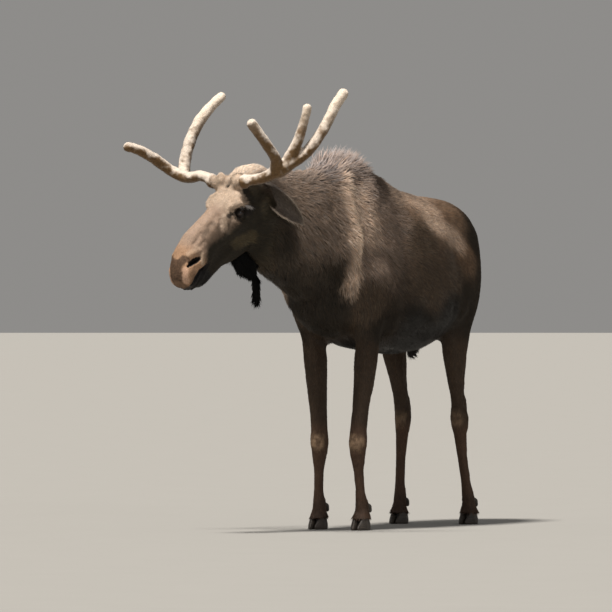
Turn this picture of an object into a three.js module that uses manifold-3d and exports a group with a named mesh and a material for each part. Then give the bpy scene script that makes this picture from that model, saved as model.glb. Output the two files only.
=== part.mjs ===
// A bull European moose (Alces alces) in velvet, standing with its head turned a little to its right.
// Millimetres, +Z up, nose towards -Y, the animal's left side towards +X.
import * as THREE from "three";
import { mergeVertices } from "three/addons/utils/BufferGeometryUtils.js";
import Module from "manifold-3d";

const wasm = await Module();
wasm.setup();

// ---- Driving dimensions -------------------------------------------------------------------------
const CUT = 0.5; // width of the thin cuts between neighbouring parts
const WITHERS = 1885; // height of the shoulder hump
const MANE = 1958; // height of the hair that stands on it
const CROUP = 1725; // height of the back over the hips
const BELLY = 900; // lowest point of the belly
const CHEST_Y = -385; // front of the breast
const RUMP_Y = 1290; // back of the rump
const KNEE = 450; // height of the fore knee
const HOCK = 575; // height of the hock
const FETLOCK = 122; // height of the fetlocks
const CORONET = 64; // height at which horn meets hair
const HEAD_LENGTH = 712; // crown to nose tip
const HEAD_YAW = 20; // degrees the head turns to the animal's right
const HEAD_PITCH = 50; // degrees the face slopes below the horizontal
const CROWN = [-125, -912, 1868]; // top of the skull between the antlers
const EYE_RADIUS = 21;

// ---- Solids -------------------------------------------------------------------------------------
const v3 = (x, y, z) => new THREE.Vector3(x, y, z);

// A closed geometry as a solid that can be joined and cut.
function solidOf(geometry) {
  const bare = new THREE.BufferGeometry();
  bare.setAttribute("position", geometry.getAttribute("position").clone());
  bare.setIndex(geometry.index.clone());
  const merged = mergeVertices(bare, 1e-3);
  const vertProperties = merged.getAttribute("position").array;
  const triVerts = new Uint32Array(merged.index.array);
  return new wasm.Manifold(new wasm.Mesh({ numProp: 3, vertProperties, triVerts }));
}

// A solid as a named mesh.
function meshOf(name, solid, material) {
  const { vertProperties, triVerts } = solid.getMesh();
  const geometry = new THREE.BufferGeometry()
    .setAttribute("position", new THREE.BufferAttribute(new Float32Array(vertProperties), 3))
    .setIndex(new THREE.BufferAttribute(new Uint32Array(triVerts), 1));
  geometry.computeVertexNormals();
  const mesh = new THREE.Mesh(geometry, material);
  mesh.name = name;
  return mesh;
}

// Every section of the skin stands square to one direction.
const squareTo = (across, up) => () => ({ across: v3(...across), up: v3(...up) });

// Each section stands square to the line of centres, its own up as near as can be to a given one.
const alongLine = (near) => (tangent) => {
  const across = v3().crossVectors(tangent, v3(...near)).normalize();
  return { across, up: v3().crossVectors(across, tangent).normalize() };
};

// A closed skin over a row of stations, smoothed between them. A station is the centre of a section and its
// half sizes: side, up and down. taper narrows it above its centre and widens it below; round is 2 for an
// ellipse and more for a box.
function loft(stations, { steps, sides, frame }) {
  const row = ({ at, side, up, down = up, taper = 0, round = 2 }) => [...at, side, up, down, taper, round];
  const rows = stations.map(row);
  const curve = new THREE.CubicInterpolant(rows.map((_, i) => i), rows.flat(), rows[0].length);
  const sample = (t) => [...curve.evaluate(t)];
  const last = rows.length - 1;
  const rings = last * steps;
  const positions = [];
  const index = [];
  const power = (x, n) => Math.sign(x) * Math.abs(x) ** (2 / n);
  for (let i = 0; i <= rings; i++) {
    const t = (last * i) / rings;
    const [x, y, z, side, up, down, taper, round] = sample(t);
    const before = sample(Math.max(0, t - 0.05));
    const after = sample(Math.min(last, t + 0.05));
    const tangent = v3(after[0] - before[0], after[1] - before[1], after[2] - before[2]).normalize();
    const axes = frame(tangent);
    for (let j = 0; j < sides; j++) {
      const angle = (2 * Math.PI * (j + 0.5)) / sides;
      const wide = side * power(Math.cos(angle), round) * (1 - taper * Math.sin(angle));
      const high = (Math.sin(angle) > 0 ? up : down) * power(Math.sin(angle), round);
      positions.push(v3(x, y, z).addScaledVector(axes.across, wide).addScaledVector(axes.up, high));
    }
  }
  for (let i = 0; i < rings; i++)
    for (let j = 0; j < sides; j++) {
      const a = i * sides + j;
      const b = i * sides + ((j + 1) % sides);
      index.push(a, b, b + sides, a, b + sides, a + sides);
    }
  for (const [ring, end] of [[0, 1], [rings, -1]]) {
    const centre = v3(...sample((last * ring) / rings).slice(0, 3));
    const pole = positions.push(centre) - 1;
    for (let j = 0; j < sides; j++) {
      const a = ring * sides + j;
      const b = ring * sides + ((j + 1) % sides);
      index.push(...(end > 0 ? [pole, b, a] : [pole, a, b]));
    }
  }
  const geometry = new THREE.BufferGeometry().setFromPoints(positions).setIndex(index);
  const solid = solidOf(geometry);
  if (solid.volume() > 0) return solid;
  for (let i = 0; i < index.length; i += 3) [index[i], index[i + 1]] = [index[i + 1], index[i]];
  return solidOf(geometry.setIndex(index));
}

const join = (...solids) => solids.reduce((whole, solid) => whole.add(solid));

// A thin round cut square to a direction.
function discCut(centre, normal, radius) {
  const geometry = new THREE.CylinderGeometry(radius, radius, CUT, 12);
  const turn = new THREE.Quaternion().setFromUnitVectors(v3(0, 1, 0), v3(...normal).normalize());
  return solidOf(geometry.applyQuaternion(turn).translate(...centre));
}

// A thin flat cut between two points, which reaches a half width to each side of the line between them.
function stripCut(from, to, side, halfWidth) {
  const [start, end, across] = [v3(...from), v3(...to), v3(...side).normalize()];
  const run = end.clone().sub(start);
  const normal = v3().crossVectors(across, run).normalize();
  const geometry = new THREE.BoxGeometry(2 * halfWidth, run.length() + CUT, CUT);
  const turn = new THREE.Matrix4().makeBasis(across, run.clone().normalize(), normal);
  const middle = start.add(end).multiplyScalar(0.5);
  return solidOf(geometry.applyMatrix4(turn).translate(...middle.toArray()));
}

// A piece against the body: what stands clear of it, and of it moved a cut's width about the way to the piece.
function beside(piece, body, away) {
  const leans = [[0, 0, 0], [0, 0, 0.8], [0, 0, -0.8], [0.8, 0, 0], [-0.8, 0, 0]];
  const shifts = leans.map((lean) => v3(...away).normalize().add(v3(...lean)).setLength(CUT));
  const grown = join(body, ...shifts.map((shift) => body.translate(shift.toArray())));
  const parts = piece.subtract(grown).decompose();
  return parts.reduce((best, part) => (part.volume() > best.volume() ? part : best)).simplify(CUT / 3);
}

// ---- Head frame ---------------------------------------------------------------------------------
// Heading and left lie level. Along runs down the face from crown to nose, and over stands square to it.
const yaw = THREE.MathUtils.degToRad(HEAD_YAW);
const pitch = THREE.MathUtils.degToRad(HEAD_PITCH);
const heading = v3(-Math.sin(yaw), -Math.cos(yaw), 0);
const left = v3(Math.cos(yaw), -Math.sin(yaw), 0);
const along = heading.clone().multiplyScalar(Math.cos(pitch)).add(v3(0, 0, -Math.sin(pitch)));
const over = heading.clone().multiplyScalar(Math.sin(pitch)).add(v3(0, 0, Math.cos(pitch)));
const crown = v3(...CROWN);

// A point of the head: down the face, off the face, and to the animal's left of the middle.
const onHead = (down, off, aside = 0) => {
  const point = crown.clone().addScaledVector(along, down).addScaledVector(over, off);
  return point.addScaledVector(left, aside).toArray();
};
// A point near the head in level directions: ahead, to the left, and up from the crown.
const nearHead = (ahead, aside, rise) =>
  crown.clone().addScaledVector(heading, ahead).addScaledVector(left, aside).add(v3(0, 0, rise)).toArray();
const headFrame = squareTo(left.toArray(), over.toArray());

// ---- Trunk and neck -----------------------------------------------------------------------------
function trunk() {
  const section = (y, top, bottom, middle, side, taper, round = 2.15) => ({
    at: [0, y, middle], side, up: top - middle, down: middle - bottom, taper, round,
  });
  return loft(
    [
      section(CHEST_Y, 1300, 1200, 1250, 50, 0),
      section(CHEST_Y + 50, 1500, 1110, 1270, 150, 0),
      section(-200, 1720, 1015, 1300, 215, 0.1),
      section(0, WITHERS, 958, 1330, 245, 0.28),
      section(180, WITHERS - 10, 925, 1320, 275, 0.3),
      section(400, 1812, BELLY + 6, 1290, 318, 0.16),
      section(620, 1762, BELLY, 1270, 338, 0.08),
      section(820, 1738, BELLY + 32, 1290, 330, 0.05),
      section(1000, CROUP, 995, 1330, 304, 0.04, 2.3),
      section(1130, CROUP - 24, 1090, 1370, 264, 0.04, 2.3),
      section(1230, 1650, 1190, 1400, 190, 0, 2.3),
      section(RUMP_Y, 1480, 1360, 1420, 50, 0),
    ],
    { steps: 2, sides: 18, frame: squareTo([1, 0, 0], [0, 0, 1]) },
  );
}

function neck() {
  return loft(
    [
      { at: [0, 120, 1480], side: 90, up: 180, down: 220 },
      { at: [0, -80, 1470], side: 195, up: 415, down: 350, taper: 0.32 },
      { at: [-4, -300, 1490], side: 200, up: 385, down: 330, taper: 0.3 },
      { at: [-24, -500, 1535], side: 174, up: 325, down: 285, taper: 0.26 },
      { at: [-60, -690, 1590], side: 148, up: 275, down: 265, taper: 0.2 },
      { at: [-98, -830, 1650], side: 128, up: 222, down: 200, taper: 0.1 },
      { at: [-118, -890, 1690], side: 92, up: 150, down: 120 },
    ],
    { steps: 2, sides: 16, frame: alongLine([0, 0, 1]) },
  );
}

// The ridge of long hair over the shoulders.
function mane() {
  const section = (y, top, depth, side) => ({ at: [0, y, top - depth], side, up: depth, taper: 0.35 });
  return loft(
    [
      section(-380, 1810, 60, 30),
      section(-260, 1882, 110, 66),
      section(-120, 1934, 140, 84),
      section(20, MANE, 150, 88),
      section(160, 1940, 140, 84),
      section(310, 1874, 110, 66),
      section(460, 1770, 60, 30),
    ],
    { steps: 1, sides: 10, frame: squareTo([1, 0, 0], [0, 0, 1]) },
  );
}

function tail() {
  return loft(
    [
      { at: [0, 1215, 1590], side: 34, up: 26 },
      { at: [0, 1272, 1570], side: 36, up: 26 },
      { at: [0, 1310, 1515], side: 30, up: 22 },
      { at: [0, 1322, 1455], side: 16, up: 14 },
      { at: [0, 1324, 1436], side: 5, up: 5 },
    ],
    { steps: 1, sides: 10, frame: alongLine([0, 1, 0]) },
  );
}

function sheath() {
  return loft(
    [
      { at: [0, 900, 985], side: 30, up: 60 },
      { at: [0, 842, 925], side: 34, up: 40 },
      { at: [0, 812, 892], side: 24, up: 26 },
      { at: [0, 802, 876], side: 10, up: 12 },
    ],
    { steps: 2, sides: 10, frame: alongLine([0, 1, 0]) },
  );
}

// ---- Head ---------------------------------------------------------------------------------------
// Sections of skull and upper muzzle down the face: how far off the face line the bridge lies, how deep the
// section is, and its half width.
function skull() {
  const section = (down, bridge, depth, side, taper = 0, round = 2.2, middle = 0.5) => ({
    at: onHead(down, bridge - depth * middle),
    side, up: depth * middle, down: depth * (1 - middle), taper, round,
  });
  return loft(
    [
      section(-115, -125, 100, 40),
      section(-80, -82, 222, 92, 0.05),
      section(-10, -26, 254, 108, 0),
      section(70, -8, 278, 112, -0.05),
      section(150, -6, 298, 112, -0.05),
      section(225, -8, 304, 106, -0.02),
      section(310, 4, 276, 88, 0.06),
      section(400, 24, 230, 73, 0.06),
      section(490, 44, 223, 70, 0.02),
      section(580, 34, 216, 77, -0.04, 2.4),
      section(650, 6, 190, 78, -0.06, 2.5),
      section(HEAD_LENGTH - 20, -26, 134, 68, 0, 2.6),
      section(HEAD_LENGTH + 6, -56, 76, 44),
    ],
    { steps: 1, sides: 18, frame: headFrame },
  );
}

// The bony ridge over each eye.
function brow(aside) {
  return loft(
    [
      { at: onHead(140, -56, aside * 78), side: 20, up: 22 },
      { at: onHead(178, -50, aside * 92), side: 30, up: 27 },
      { at: onHead(218, -54, aside * 95), side: 27, up: 25 },
      { at: onHead(258, -68, aside * 76), side: 12, up: 14 },
    ],
    { steps: 1, sides: 8, frame: headFrame },
  );
}

function lowerJaw() {
  const section = (down, off, side, up, under = up) => ({ at: onHead(down, off), side, up, down: under });
  return loft(
    [
      section(140, -215, 50, 60, 78),
      section(215, -226, 78, 70, 100),
      section(300, -212, 76, 66, 110),
      section(390, -192, 64, 54, 96),
      section(470, -186, 50, 40, 56),
      section(550, -184, 45, 28, 38),
      section(615, -178, 42, 24, 34),
      section(655, -172, 24, 14, 22),
    ],
    { steps: 1, sides: 14, frame: headFrame },
  );
}

// The stalk of bone that carries an antler.
function pedicle(aside) {
  return loft(
    [
      { at: nearHead(36, aside * 46, -64), side: 38, up: 38 },
      { at: nearHead(54, aside * 76, -94), side: 36, up: 36 },
      { at: nearHead(58, aside * 112, -86), side: 33, up: 33 },
    ],
    { steps: 1, sides: 10, frame: alongLine([0, 0, 1]) },
  );
}

function ear({ aside, tip }) {
  const root = [-72, aside * 84, -112];
  const between = (share, out) => nearHead(...root.map((value, i) =>
    value + (tip[i] - value) * share + (i === 1 ? aside * out : 0)));
  return loft(
    [
      { at: between(-0.08, 0), side: 24, up: 26 },
      { at: between(0.1, 5), side: 27, up: 34 },
      { at: between(0.36, 10), side: 22, up: 54 },
      { at: between(0.64, 7), side: 17, up: 53 },
      { at: between(0.87, 0), side: 11, up: 31 },
      { at: between(1, -4), side: 5, up: 8 },
    ],
    { steps: 1, sides: 12, frame: alongLine([0, 0.35, 1]) },
  );
}

const EARS = {
  left: { aside: 1, tip: [-292, 186, -296] },
  right: { aside: -1, tip: [-262, -226, -286] },
};

// The flap of skin and hair that hangs from the throat.
function bell() {
  const section = (ahead, rise, side, front, back) => ({
    at: nearHead(ahead, 0, rise), side, up: front, down: back,
  });
  return loft(
    [
      section(-60, -385, 36, 60, 60),
      section(-60, -440, 38, 124, 76),
      section(-64, -500, 30, 118, 70),
      section(-90, -545, 24, 80, 46),
      section(-124, -575, 24, 30, 30),
      section(-130, -640, 24, 26, 26),
      section(-130, -710, 20, 28, 28),
      section(-130, -735, 6, 8, 8),
    ],
    { steps: 1, sides: 8, frame: squareTo(left.toArray(), heading.toArray()) },
  );
}

// ---- Antlers ------------------------------------------------------------------------------------
// A beam or tine along points given ahead, aside and up from the crown, with its thickness at each.
function horn(aside, points) {
  const stations = points.map(([ahead, out, rise, side, up = side]) => ({
    at: nearHead(ahead, aside * out, rise), side, up,
  }));
  return loft(stations, { steps: 2, sides: 8, frame: alongLine([0.3, 0.2, 1]) });
}

// A tine ends in a blunt round tip.
function tine(aside, points) {
  const [endAhead, endOut, endRise, thick] = points.at(-1);
  const [lastAhead, lastOut, lastRise] = points.at(-2);
  const reach = Math.hypot(endAhead - lastAhead, endOut - lastOut, endRise - lastRise);
  const on = (far) => [
    endAhead + ((endAhead - lastAhead) * far) / reach,
    endOut + ((endOut - lastOut) * far) / reach,
    endRise + ((endRise - lastRise) * far) / reach,
  ];
  return horn(aside, [...points, [...on(0.55 * thick), 0.82 * thick], [...on(0.9 * thick), 0.3 * thick]]);
}

const ANTLERS = {
  left: {
    aside: 1,
    beam: [
      [58, 98, -90, 36], [58, 120, -86, 40], [54, 148, -80, 31], [42, 225, -72, 29],
      [30, 300, -48, 36, 34], [8, 352, -18, 44, 40], [-28, 392, 22, 38, 34], [-48, 412, 44, 20, 18],
    ],
    tines: {
      front: [
        [30, 322, -28, 34], [62, 358, 20, 31], [120, 373, 74, 28], [185, 374, 140, 27], [238, 370, 200, 27],
      ],
      middle: [
        [0, 366, 0, 34], [-14, 408, 70, 31], [-24, 440, 140, 28], [-34, 462, 215, 25], [-42, 474, 280, 24],
      ],
      rear: [
        [-20, 386, 8, 34], [-70, 446, 62, 31], [-125, 500, 165, 29], [-175, 528, 280, 29],
        [-220, 550, 355, 27],
      ],
    },
  },
  right: {
    aside: -1,
    beam: [
      [58, 98, -86, 36], [58, 120, -80, 40], [56, 148, -68, 30], [50, 220, -54, 28],
      [42, 310, -62, 31], [42, 370, -52, 32], [50, 396, -40, 22],
    ],
    tines: {
      front: [
        [44, 340, -60, 31], [88, 408, -24, 30], [178, 428, 34, 29], [268, 444, 76, 28], [326, 462, 92, 27],
      ],
      rear: [
        [20, 380, -46, 34], [-10, 402, 30, 33], [-46, 408, 120, 33], [-108, 398, 230, 32],
        [-168, 376, 305, 28], [-224, 362, 354, 26],
      ],
    },
  },
};

// ---- Legs ---------------------------------------------------------------------------------------
// Sizes down a leg: height, half width, and reach to the front and back of its line.
const FORE_SIZES = [
  [1610, 22, 70, 70], [1480, 48, 112, 120], [1310, 88, 165, 165], [1130, 86, 145, 140], [1000, 68, 100, 108],
  [890, 61, 82, 86], [760, 53, 66, 70], [620, 45, 54, 58], [KNEE + 65, 46, 50, 50], [KNEE, 51, 52, 54],
  [KNEE - 70, 42, 42, 48], [300, 29, 31, 38], [205, 28, 30, 37], [FETLOCK + 8, 36, 38, 48], [92, 35, 38, 42],
  [CORONET, 43, 52, 46],
];
const HIND_SIZES = [
  [1570, 30, 80, 90], [1440, 80, 160, 190], [1280, 100, 200, 220], [1140, 90, 172, 190], [1020, 76, 130, 140],
  [900, 60, 90, 98], [780, 47, 64, 72], [680, 41, 50, 66], [HOCK + 30, 43, 48, 70], [HOCK - 30, 45, 49, 58],
  [HOCK - 105, 37, 41, 46], [350, 29, 33, 38], [220, 29, 32, 38], [FETLOCK + 8, 36, 38, 48], [92, 35, 38, 42],
  [CORONET, 42, 50, 46],
];

// Each leg's line, from its top down: height, distance out from the middle, and place along the body.
const LEGS = {
  front_left: {
    aside: 1, sizes: FORE_SIZES, part: [940, KNEE],
    line: [[1610, 128, 40], [1310, 186, -40], [1000, 160, -8], [760, 148, -25], [KNEE, 135, -70],
      [200, 135, -40], [FETLOCK, 136, -24], [CORONET, 139, -38]],
  },
  front_right: {
    aside: -1, sizes: FORE_SIZES, part: [940, KNEE],
    line: [[1610, 128, 40], [1310, 186, -40], [1000, 162, 10], [760, 153, 34], [KNEE, 136, 32],
      [200, 132, 14], [FETLOCK, 130, 16], [CORONET, 127, 2]],
  },
  hind_left: {
    aside: 1, sizes: HIND_SIZES, part: [915, HOCK],
    line: [[1570, 120, 1020], [1280, 190, 985], [1020, 186, 956], [780, 175, 1000], [HOCK, 167, 1054],
      [350, 174, 1084], [FETLOCK, 184, 1134], [CORONET, 190, 1128]],
  },
  hind_right: {
    aside: -1, sizes: HIND_SIZES, part: [915, HOCK],
    line: [[1570, 120, 1020], [1280, 190, 985], [1020, 176, 944], [780, 161, 990], [HOCK, 157, 1042],
      [350, 163, 1034], [FETLOCK, 166, 1026], [CORONET, 162, 1014]],
  },
};

// The leg's line at a height.
function lineOf({ aside, line }) {
  const rising = [...line].reverse();
  const heights = rising.map(([z]) => z);
  const curve = new THREE.CubicInterpolant(heights, rising.flatMap(([, x, y]) => [aside * x, y]), 2);
  return (z) => [...curve.evaluate(z), z];
}

function leg(plan) {
  const at = lineOf(plan);
  return loft(
    plan.sizes.map(([z, side, front, back]) => ({ at: at(z), side, up: front, down: back, round: 2.1 })),
    { steps: 1, sides: 10, frame: squareTo([1, 0, 0], [0, -1, 0]) },
  );
}

// One of the two main toes, flat under foot, with its wall sloping back to the coronet.
const TOE = { apart: 25, halfWidth: 23.5, front: 60, back: 48 };
function toe(plan, sign) {
  const [x, y] = lineOf(plan)(CORONET);
  const section = (z, grow, shift) => ({
    at: [x + sign * TOE.apart, y - 12 + shift, z],
    side: TOE.halfWidth * grow, up: TOE.front * grow - shift * 0.2, down: TOE.back * grow, round: 2.3,
  });
  return loft(
    [section(0, 0.94, 0), section(10, 1, 0), section(36, 0.9, 9), section(CORONET + 12, 0.72, 22)],
    { steps: 1, sides: 12, frame: squareTo([1, 0, 0], [0, -1, 0]) },
  );
}

// One of the two small claws behind the fetlock.
const DEWCLAW = { apart: 24, behind: 38, drop: 24, size: 13 };
function dewclaw(plan, sign) {
  const [x, y] = lineOf(plan)(FETLOCK);
  const section = (behind, drop, side, up) => ({
    at: [x + sign * DEWCLAW.apart, y + behind, FETLOCK - drop],
    side: DEWCLAW.size * side, up: DEWCLAW.size * up,
  });
  const { behind, drop } = DEWCLAW;
  return loft(
    [section(behind - 20, -14, 1, 1), section(behind, 4, 1, 1), section(behind + 10, drop, 0.7, 0.8),
      section(behind + 10, drop + 8, 0.3, 0.4)],
    { steps: 1, sides: 6, frame: alongLine([0, 1, 0]) },
  );
}

// ---- The whole animal, parted by thin cuts ------------------------------------------------------
const sides = [["left", 1], ["right", -1]];
const legs = Object.entries(LEGS);
const antlers = Object.entries(ANTLERS);
const ends = [["inner", -1], ["outer", 1]];

const body = join(
  join(trunk(), neck(), mane(), sheath()).simplify(3),
  skull(), lowerJaw(),
  ...sides.flatMap(([, aside]) => [brow(aside), pedicle(aside)]),
  ...legs.flatMap(([, plan]) => [leg(plan), ...ends.map(([, sign]) => toe(plan, sign))]),
  ...antlers.flatMap(([, { aside, beam, tines }]) => [
    horn(aside, beam), ...Object.values(tines).map((points) => tine(aside, points)),
  ]),
).simplify(2);

// Each antler parts from the skull at its burr, and each tine just past its fork: after which of its points,
// and what share of the way to the next.
const BURR = [58, 112, -88];
const FORKS = {
  left: { front: [1, 0.5], middle: [1, 0.7], rear: [1, 0.5] },
  right: { front: [1, 0.3], rear: [1, 0.5] },
};
const antlerCuts = antlers.flatMap(([name, { aside, tines }]) => {
  const near = ([ahead, out, rise]) => nearHead(ahead, aside * out, rise);
  const burrCut = discCut(near(BURR), left.clone().multiplyScalar(aside).toArray(), 52);
  const tineCuts = Object.entries(tines).map(([end, points]) => {
    const [first, share] = FORKS[name][end];
    const [from, to] = [v3(...near(points[first])), v3(...near(points[first + 1]))];
    const run = to.clone().sub(from);
    return discCut(from.lerp(to, share).toArray(), run.toArray(), 1.35 * points[first][3]);
  });
  return [burrCut, ...tineCuts];
});

const MOUTH = { lips: onHead(HEAD_LENGTH + 10, -150), corner: onHead(395, -147), throat: onHead(95, -290) };
const headCuts = [
  stripCut([0, -170, 2010], [0, -430, 1060], [1, 0, 0], 330),
  stripCut(nearHead(-170, 0, 90), nearHead(-115, 0, -600), left.toArray(), 230),
  stripCut(MOUTH.lips, MOUTH.corner, left.toArray(), 130),
  stripCut(MOUTH.corner, MOUTH.throat, left.toArray(), 170),
];

const legCuts = legs.flatMap(([, plan]) => {
  const at = lineOf(plan);
  const [top, middle] = plan.part;
  const cuts = [[top, 125], [middle, 80], [CORONET - CUT / 2, 90]];
  return cuts.map(([z, radius]) => discCut(at(z), [0, 0, 1], radius));
});

// An eyeball and the socket it sits in.
const EYE = { down: 225, off: -113, aside: 93 };
const ball = (aside, radius) => {
  const at = onHead(EYE.down, EYE.off, aside * EYE.aside);
  return solidOf(new THREE.SphereGeometry(radius, 10, 6).translate(...at));
};
const sockets = sides.map(([, aside]) => ball(aside, EYE_RADIUS + CUT));

const pieces = body.subtract(join(...antlerCuts, ...headCuts, ...legCuts, ...sockets)).decompose();

// ---- Parts --------------------------------------------------------------------------------------
const material = (color, roughness) => new THREE.MeshStandardMaterial({ color, roughness, metalness: 0 });
const COAT = material(0x5c4b3e, 0.9);
const LEG_COAT = material(0x4a3026, 0.9);
const FACE_COAT = material(0x7d6757, 0.9);
const BLACK_COAT = material(0x1b1716, 0.9);
const VELVET = material(0xa88f6e, 0.85);
const HORN = material(0x2c2623, 0.6);
const EYEBALL = material(0x120b08, 0.15);

const group = new THREE.Group();

// Adds a solid to the group, or the piece that holds a point.
const put = (name, solid, paint) => group.add(meshOf(name, solid, paint));
function add(name, at, paint) {
  const holds = (piece) => {
    const { min, max } = piece.boundingBox();
    return at.every((value, i) => value > min[i] && value < max[i]);
  };
  put(name, pieces.filter(holds).sort((a, b) => a.volume() - b.volume())[0], paint);
}

add("trunk", [0, 500, 1300], COAT);
add("neck", [-20, -500, 1500], COAT);
add("head", onHead(300, -60), FACE_COAT);
add("lower_jaw", onHead(560, -190), FACE_COAT);
put("bell", beside(bell(), body, [0, 0, -1]), BLACK_COAT);
put("tail", beside(tail(), body, [0, 1, 0.3]), BLACK_COAT);

for (const [name, { aside, beam, tines }] of antlers) {
  const [ahead, out, rise] = beam[4];
  add(`antler_${name}_beam`, nearHead(ahead, aside * out, rise), VELVET);
  for (const [end, points] of Object.entries(tines)) {
    const [tipAhead, tipOut, tipRise] = points.at(-1);
    add(`antler_${name}_${end}_tine`, nearHead(tipAhead, aside * tipOut, tipRise), VELVET);
  }
}

for (const [name, plan] of legs) {
  const at = lineOf(plan);
  const [top, middle] = plan.part;
  add(`leg_${name}_upper`, at((top + middle) / 2), LEG_COAT);
  add(`leg_${name}_lower`, at((middle + FETLOCK) / 2), LEG_COAT);
  for (const [end, sign] of ends) {
    const [x, y] = at(CORONET);
    const claw = dewclaw(plan, sign * plan.aside);
    add(`hoof_${name}_${end}`, [x + sign * plan.aside * TOE.apart, y - 12, 30], HORN);
    put(`dewclaw_${name}_${end}`, beside(claw, body, [0, 1, 0]), HORN);
  }
}

for (const [name, aside] of sides) {
  put(`ear_${name}`, beside(ear(EARS[name]), body, left.clone().multiplyScalar(aside).toArray()), COAT);
  put(`eye_${name}`, ball(aside, EYE_RADIUS), EYEBALL);
}

// The origin is on the floor, under the middle of the whole.
const reach = new THREE.Box3().setFromObject(group);
const middle = reach.getCenter(v3());
group.position.set(-middle.x, -middle.y, -reach.min.z);
export default group;
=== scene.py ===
import math

import bmesh
import bpy
import numpy as np
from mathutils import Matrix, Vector, kdtree


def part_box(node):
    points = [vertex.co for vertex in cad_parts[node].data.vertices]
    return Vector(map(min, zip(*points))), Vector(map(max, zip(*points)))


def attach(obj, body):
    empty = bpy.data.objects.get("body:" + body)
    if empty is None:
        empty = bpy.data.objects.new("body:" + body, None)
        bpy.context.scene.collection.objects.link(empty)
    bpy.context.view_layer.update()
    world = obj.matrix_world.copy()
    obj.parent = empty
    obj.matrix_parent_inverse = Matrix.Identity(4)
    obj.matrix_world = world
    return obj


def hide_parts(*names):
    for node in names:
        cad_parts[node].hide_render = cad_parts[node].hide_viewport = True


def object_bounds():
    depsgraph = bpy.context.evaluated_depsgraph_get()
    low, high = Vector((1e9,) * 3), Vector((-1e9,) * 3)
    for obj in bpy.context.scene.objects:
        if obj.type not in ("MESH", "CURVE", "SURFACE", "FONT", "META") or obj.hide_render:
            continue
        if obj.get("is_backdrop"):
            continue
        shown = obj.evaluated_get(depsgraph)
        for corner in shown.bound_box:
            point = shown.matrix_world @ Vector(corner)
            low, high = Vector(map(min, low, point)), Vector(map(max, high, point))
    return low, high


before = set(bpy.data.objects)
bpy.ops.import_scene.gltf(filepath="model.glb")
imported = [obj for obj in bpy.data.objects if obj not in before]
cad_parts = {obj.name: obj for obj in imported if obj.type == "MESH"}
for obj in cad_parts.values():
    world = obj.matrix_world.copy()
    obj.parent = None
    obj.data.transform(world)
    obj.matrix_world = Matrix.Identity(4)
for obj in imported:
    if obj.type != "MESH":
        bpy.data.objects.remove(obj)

# A bull European moose in velvet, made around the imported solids. Everything is in metres, +Z up. Shapes
# and coat are worked out in the animal's own frame, with its origin on the floor midway between the fore
# feet, its nose towards -Y and its left side towards +X, and moved into the frame's place at the end.

CAD_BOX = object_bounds()
TUFT_SHARE = 1.0

# ---- Driving values --------------------------------------------------------------------------------
RUMP_Y = 1.290  # back of the rump
HEAD_PITCH = math.radians(50)  # slope of the face below the horizontal
EYE_DOWN, EYE_OFF = 0.225, -0.113  # the eyes' place down the face from the crown, and off the face line
EYE_RADIUS = 0.0205
EYE_INSET = 0.010  # how much deeper the eyeballs lie than the solids
SKIN_VOXEL, BELL_VOXEL, HORN_VOXEL, HOOF_VOXEL = 0.012, 0.007, 0.005, 0.003
SEAM = 0.0004  # how far the solids grow, so that the thin cuts between them close

FEET = ("front_left", "front_right", "hind_left", "hind_right")
SIDES = (("left", 1.0), ("right", -1.0))


# ---- Vectors and curves ----------------------------------------------------------------------------
def vec(*values):
    return np.array(values, float)


def unit(vectors):
    vectors = np.asarray(vectors, float)
    return vectors / np.maximum(np.linalg.norm(vectors, axis=-1, keepdims=True), 1e-9)


def ramp(values, low, high):
    """0 below low and 1 above high, smooth between them. low may be the larger one."""
    t = np.clip((np.asarray(values, float) - low) / (high - low), 0, 1)
    return t * t * (3 - 2 * t)


def band(values, start, full, end, gone):
    """A mask that rises from start to full and falls from end to gone."""
    return ramp(values, start, full) * (1 - ramp(values, end, gone))


def mix(a, b, share):
    share = np.asarray(share, float)
    if share.ndim == 1 and np.ndim(b) > 0:
        share = share[:, None]
    return np.asarray(a) * (1 - share) + np.asarray(b) * share


def box_of(node):
    low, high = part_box(node)
    return np.array(low), np.array(high)


def nearest(places, points):
    """For each point, the number of the nearest place and how far away it is."""
    tree = kdtree.KDTree(len(places))
    for number, place in enumerate(places):
        tree.insert(place, number)
    tree.balance()
    found = [tree.find(point) for point in points]
    return np.array([number for _, number, _ in found]), np.array([away for *_, away in found])


# ---- Places ----------------------------------------------------------------------------------------
TRUNK_LOW, TRUNK_HIGH = box_of("trunk")
ORIGIN = vec((TRUNK_LOW[0] + TRUNK_HIGH[0]) / 2, TRUNK_HIGH[1] - RUMP_Y, 0)
CAD_EYES = {side: sum(box_of(f"eye_{side}")) / 2 - ORIGIN for side, _ in SIDES}

UP = vec(0, 0, 1)
LEFT = unit((CAD_EYES["left"] - CAD_EYES["right"]) * vec(1, 1, 0))
HEADING = vec(LEFT[1], -LEFT[0], 0)
ALONG = HEADING * math.cos(HEAD_PITCH) - UP * math.sin(HEAD_PITCH)
OVER = HEADING * math.sin(HEAD_PITCH) + UP * math.cos(HEAD_PITCH)
CROWN = (CAD_EYES["left"] + CAD_EYES["right"]) / 2 - ALONG * EYE_DOWN - OVER * EYE_OFF
EYES = {side: CAD_EYES[side] - LEFT * aside * EYE_INSET for side, aside in SIDES}


def on_head(down, off, aside=0.0):
    """A point of the head: down the face, off the face line, and to the animal's left."""
    return CROWN + ALONG * down + OVER * off + LEFT * aside


def head_coordinates(points):
    """How far down the face each point lies, how far off the face line, and how far to the animal's left."""
    away = np.asarray(points, float) - CROWN
    return away @ ALONG, away @ OVER, away @ LEFT


def half_head(points):
    """The same, with both sides of the head folded into one, as rows."""
    down, off, aside = head_coordinates(points)
    return np.stack([down, off, np.abs(aside)], axis=1)


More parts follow.
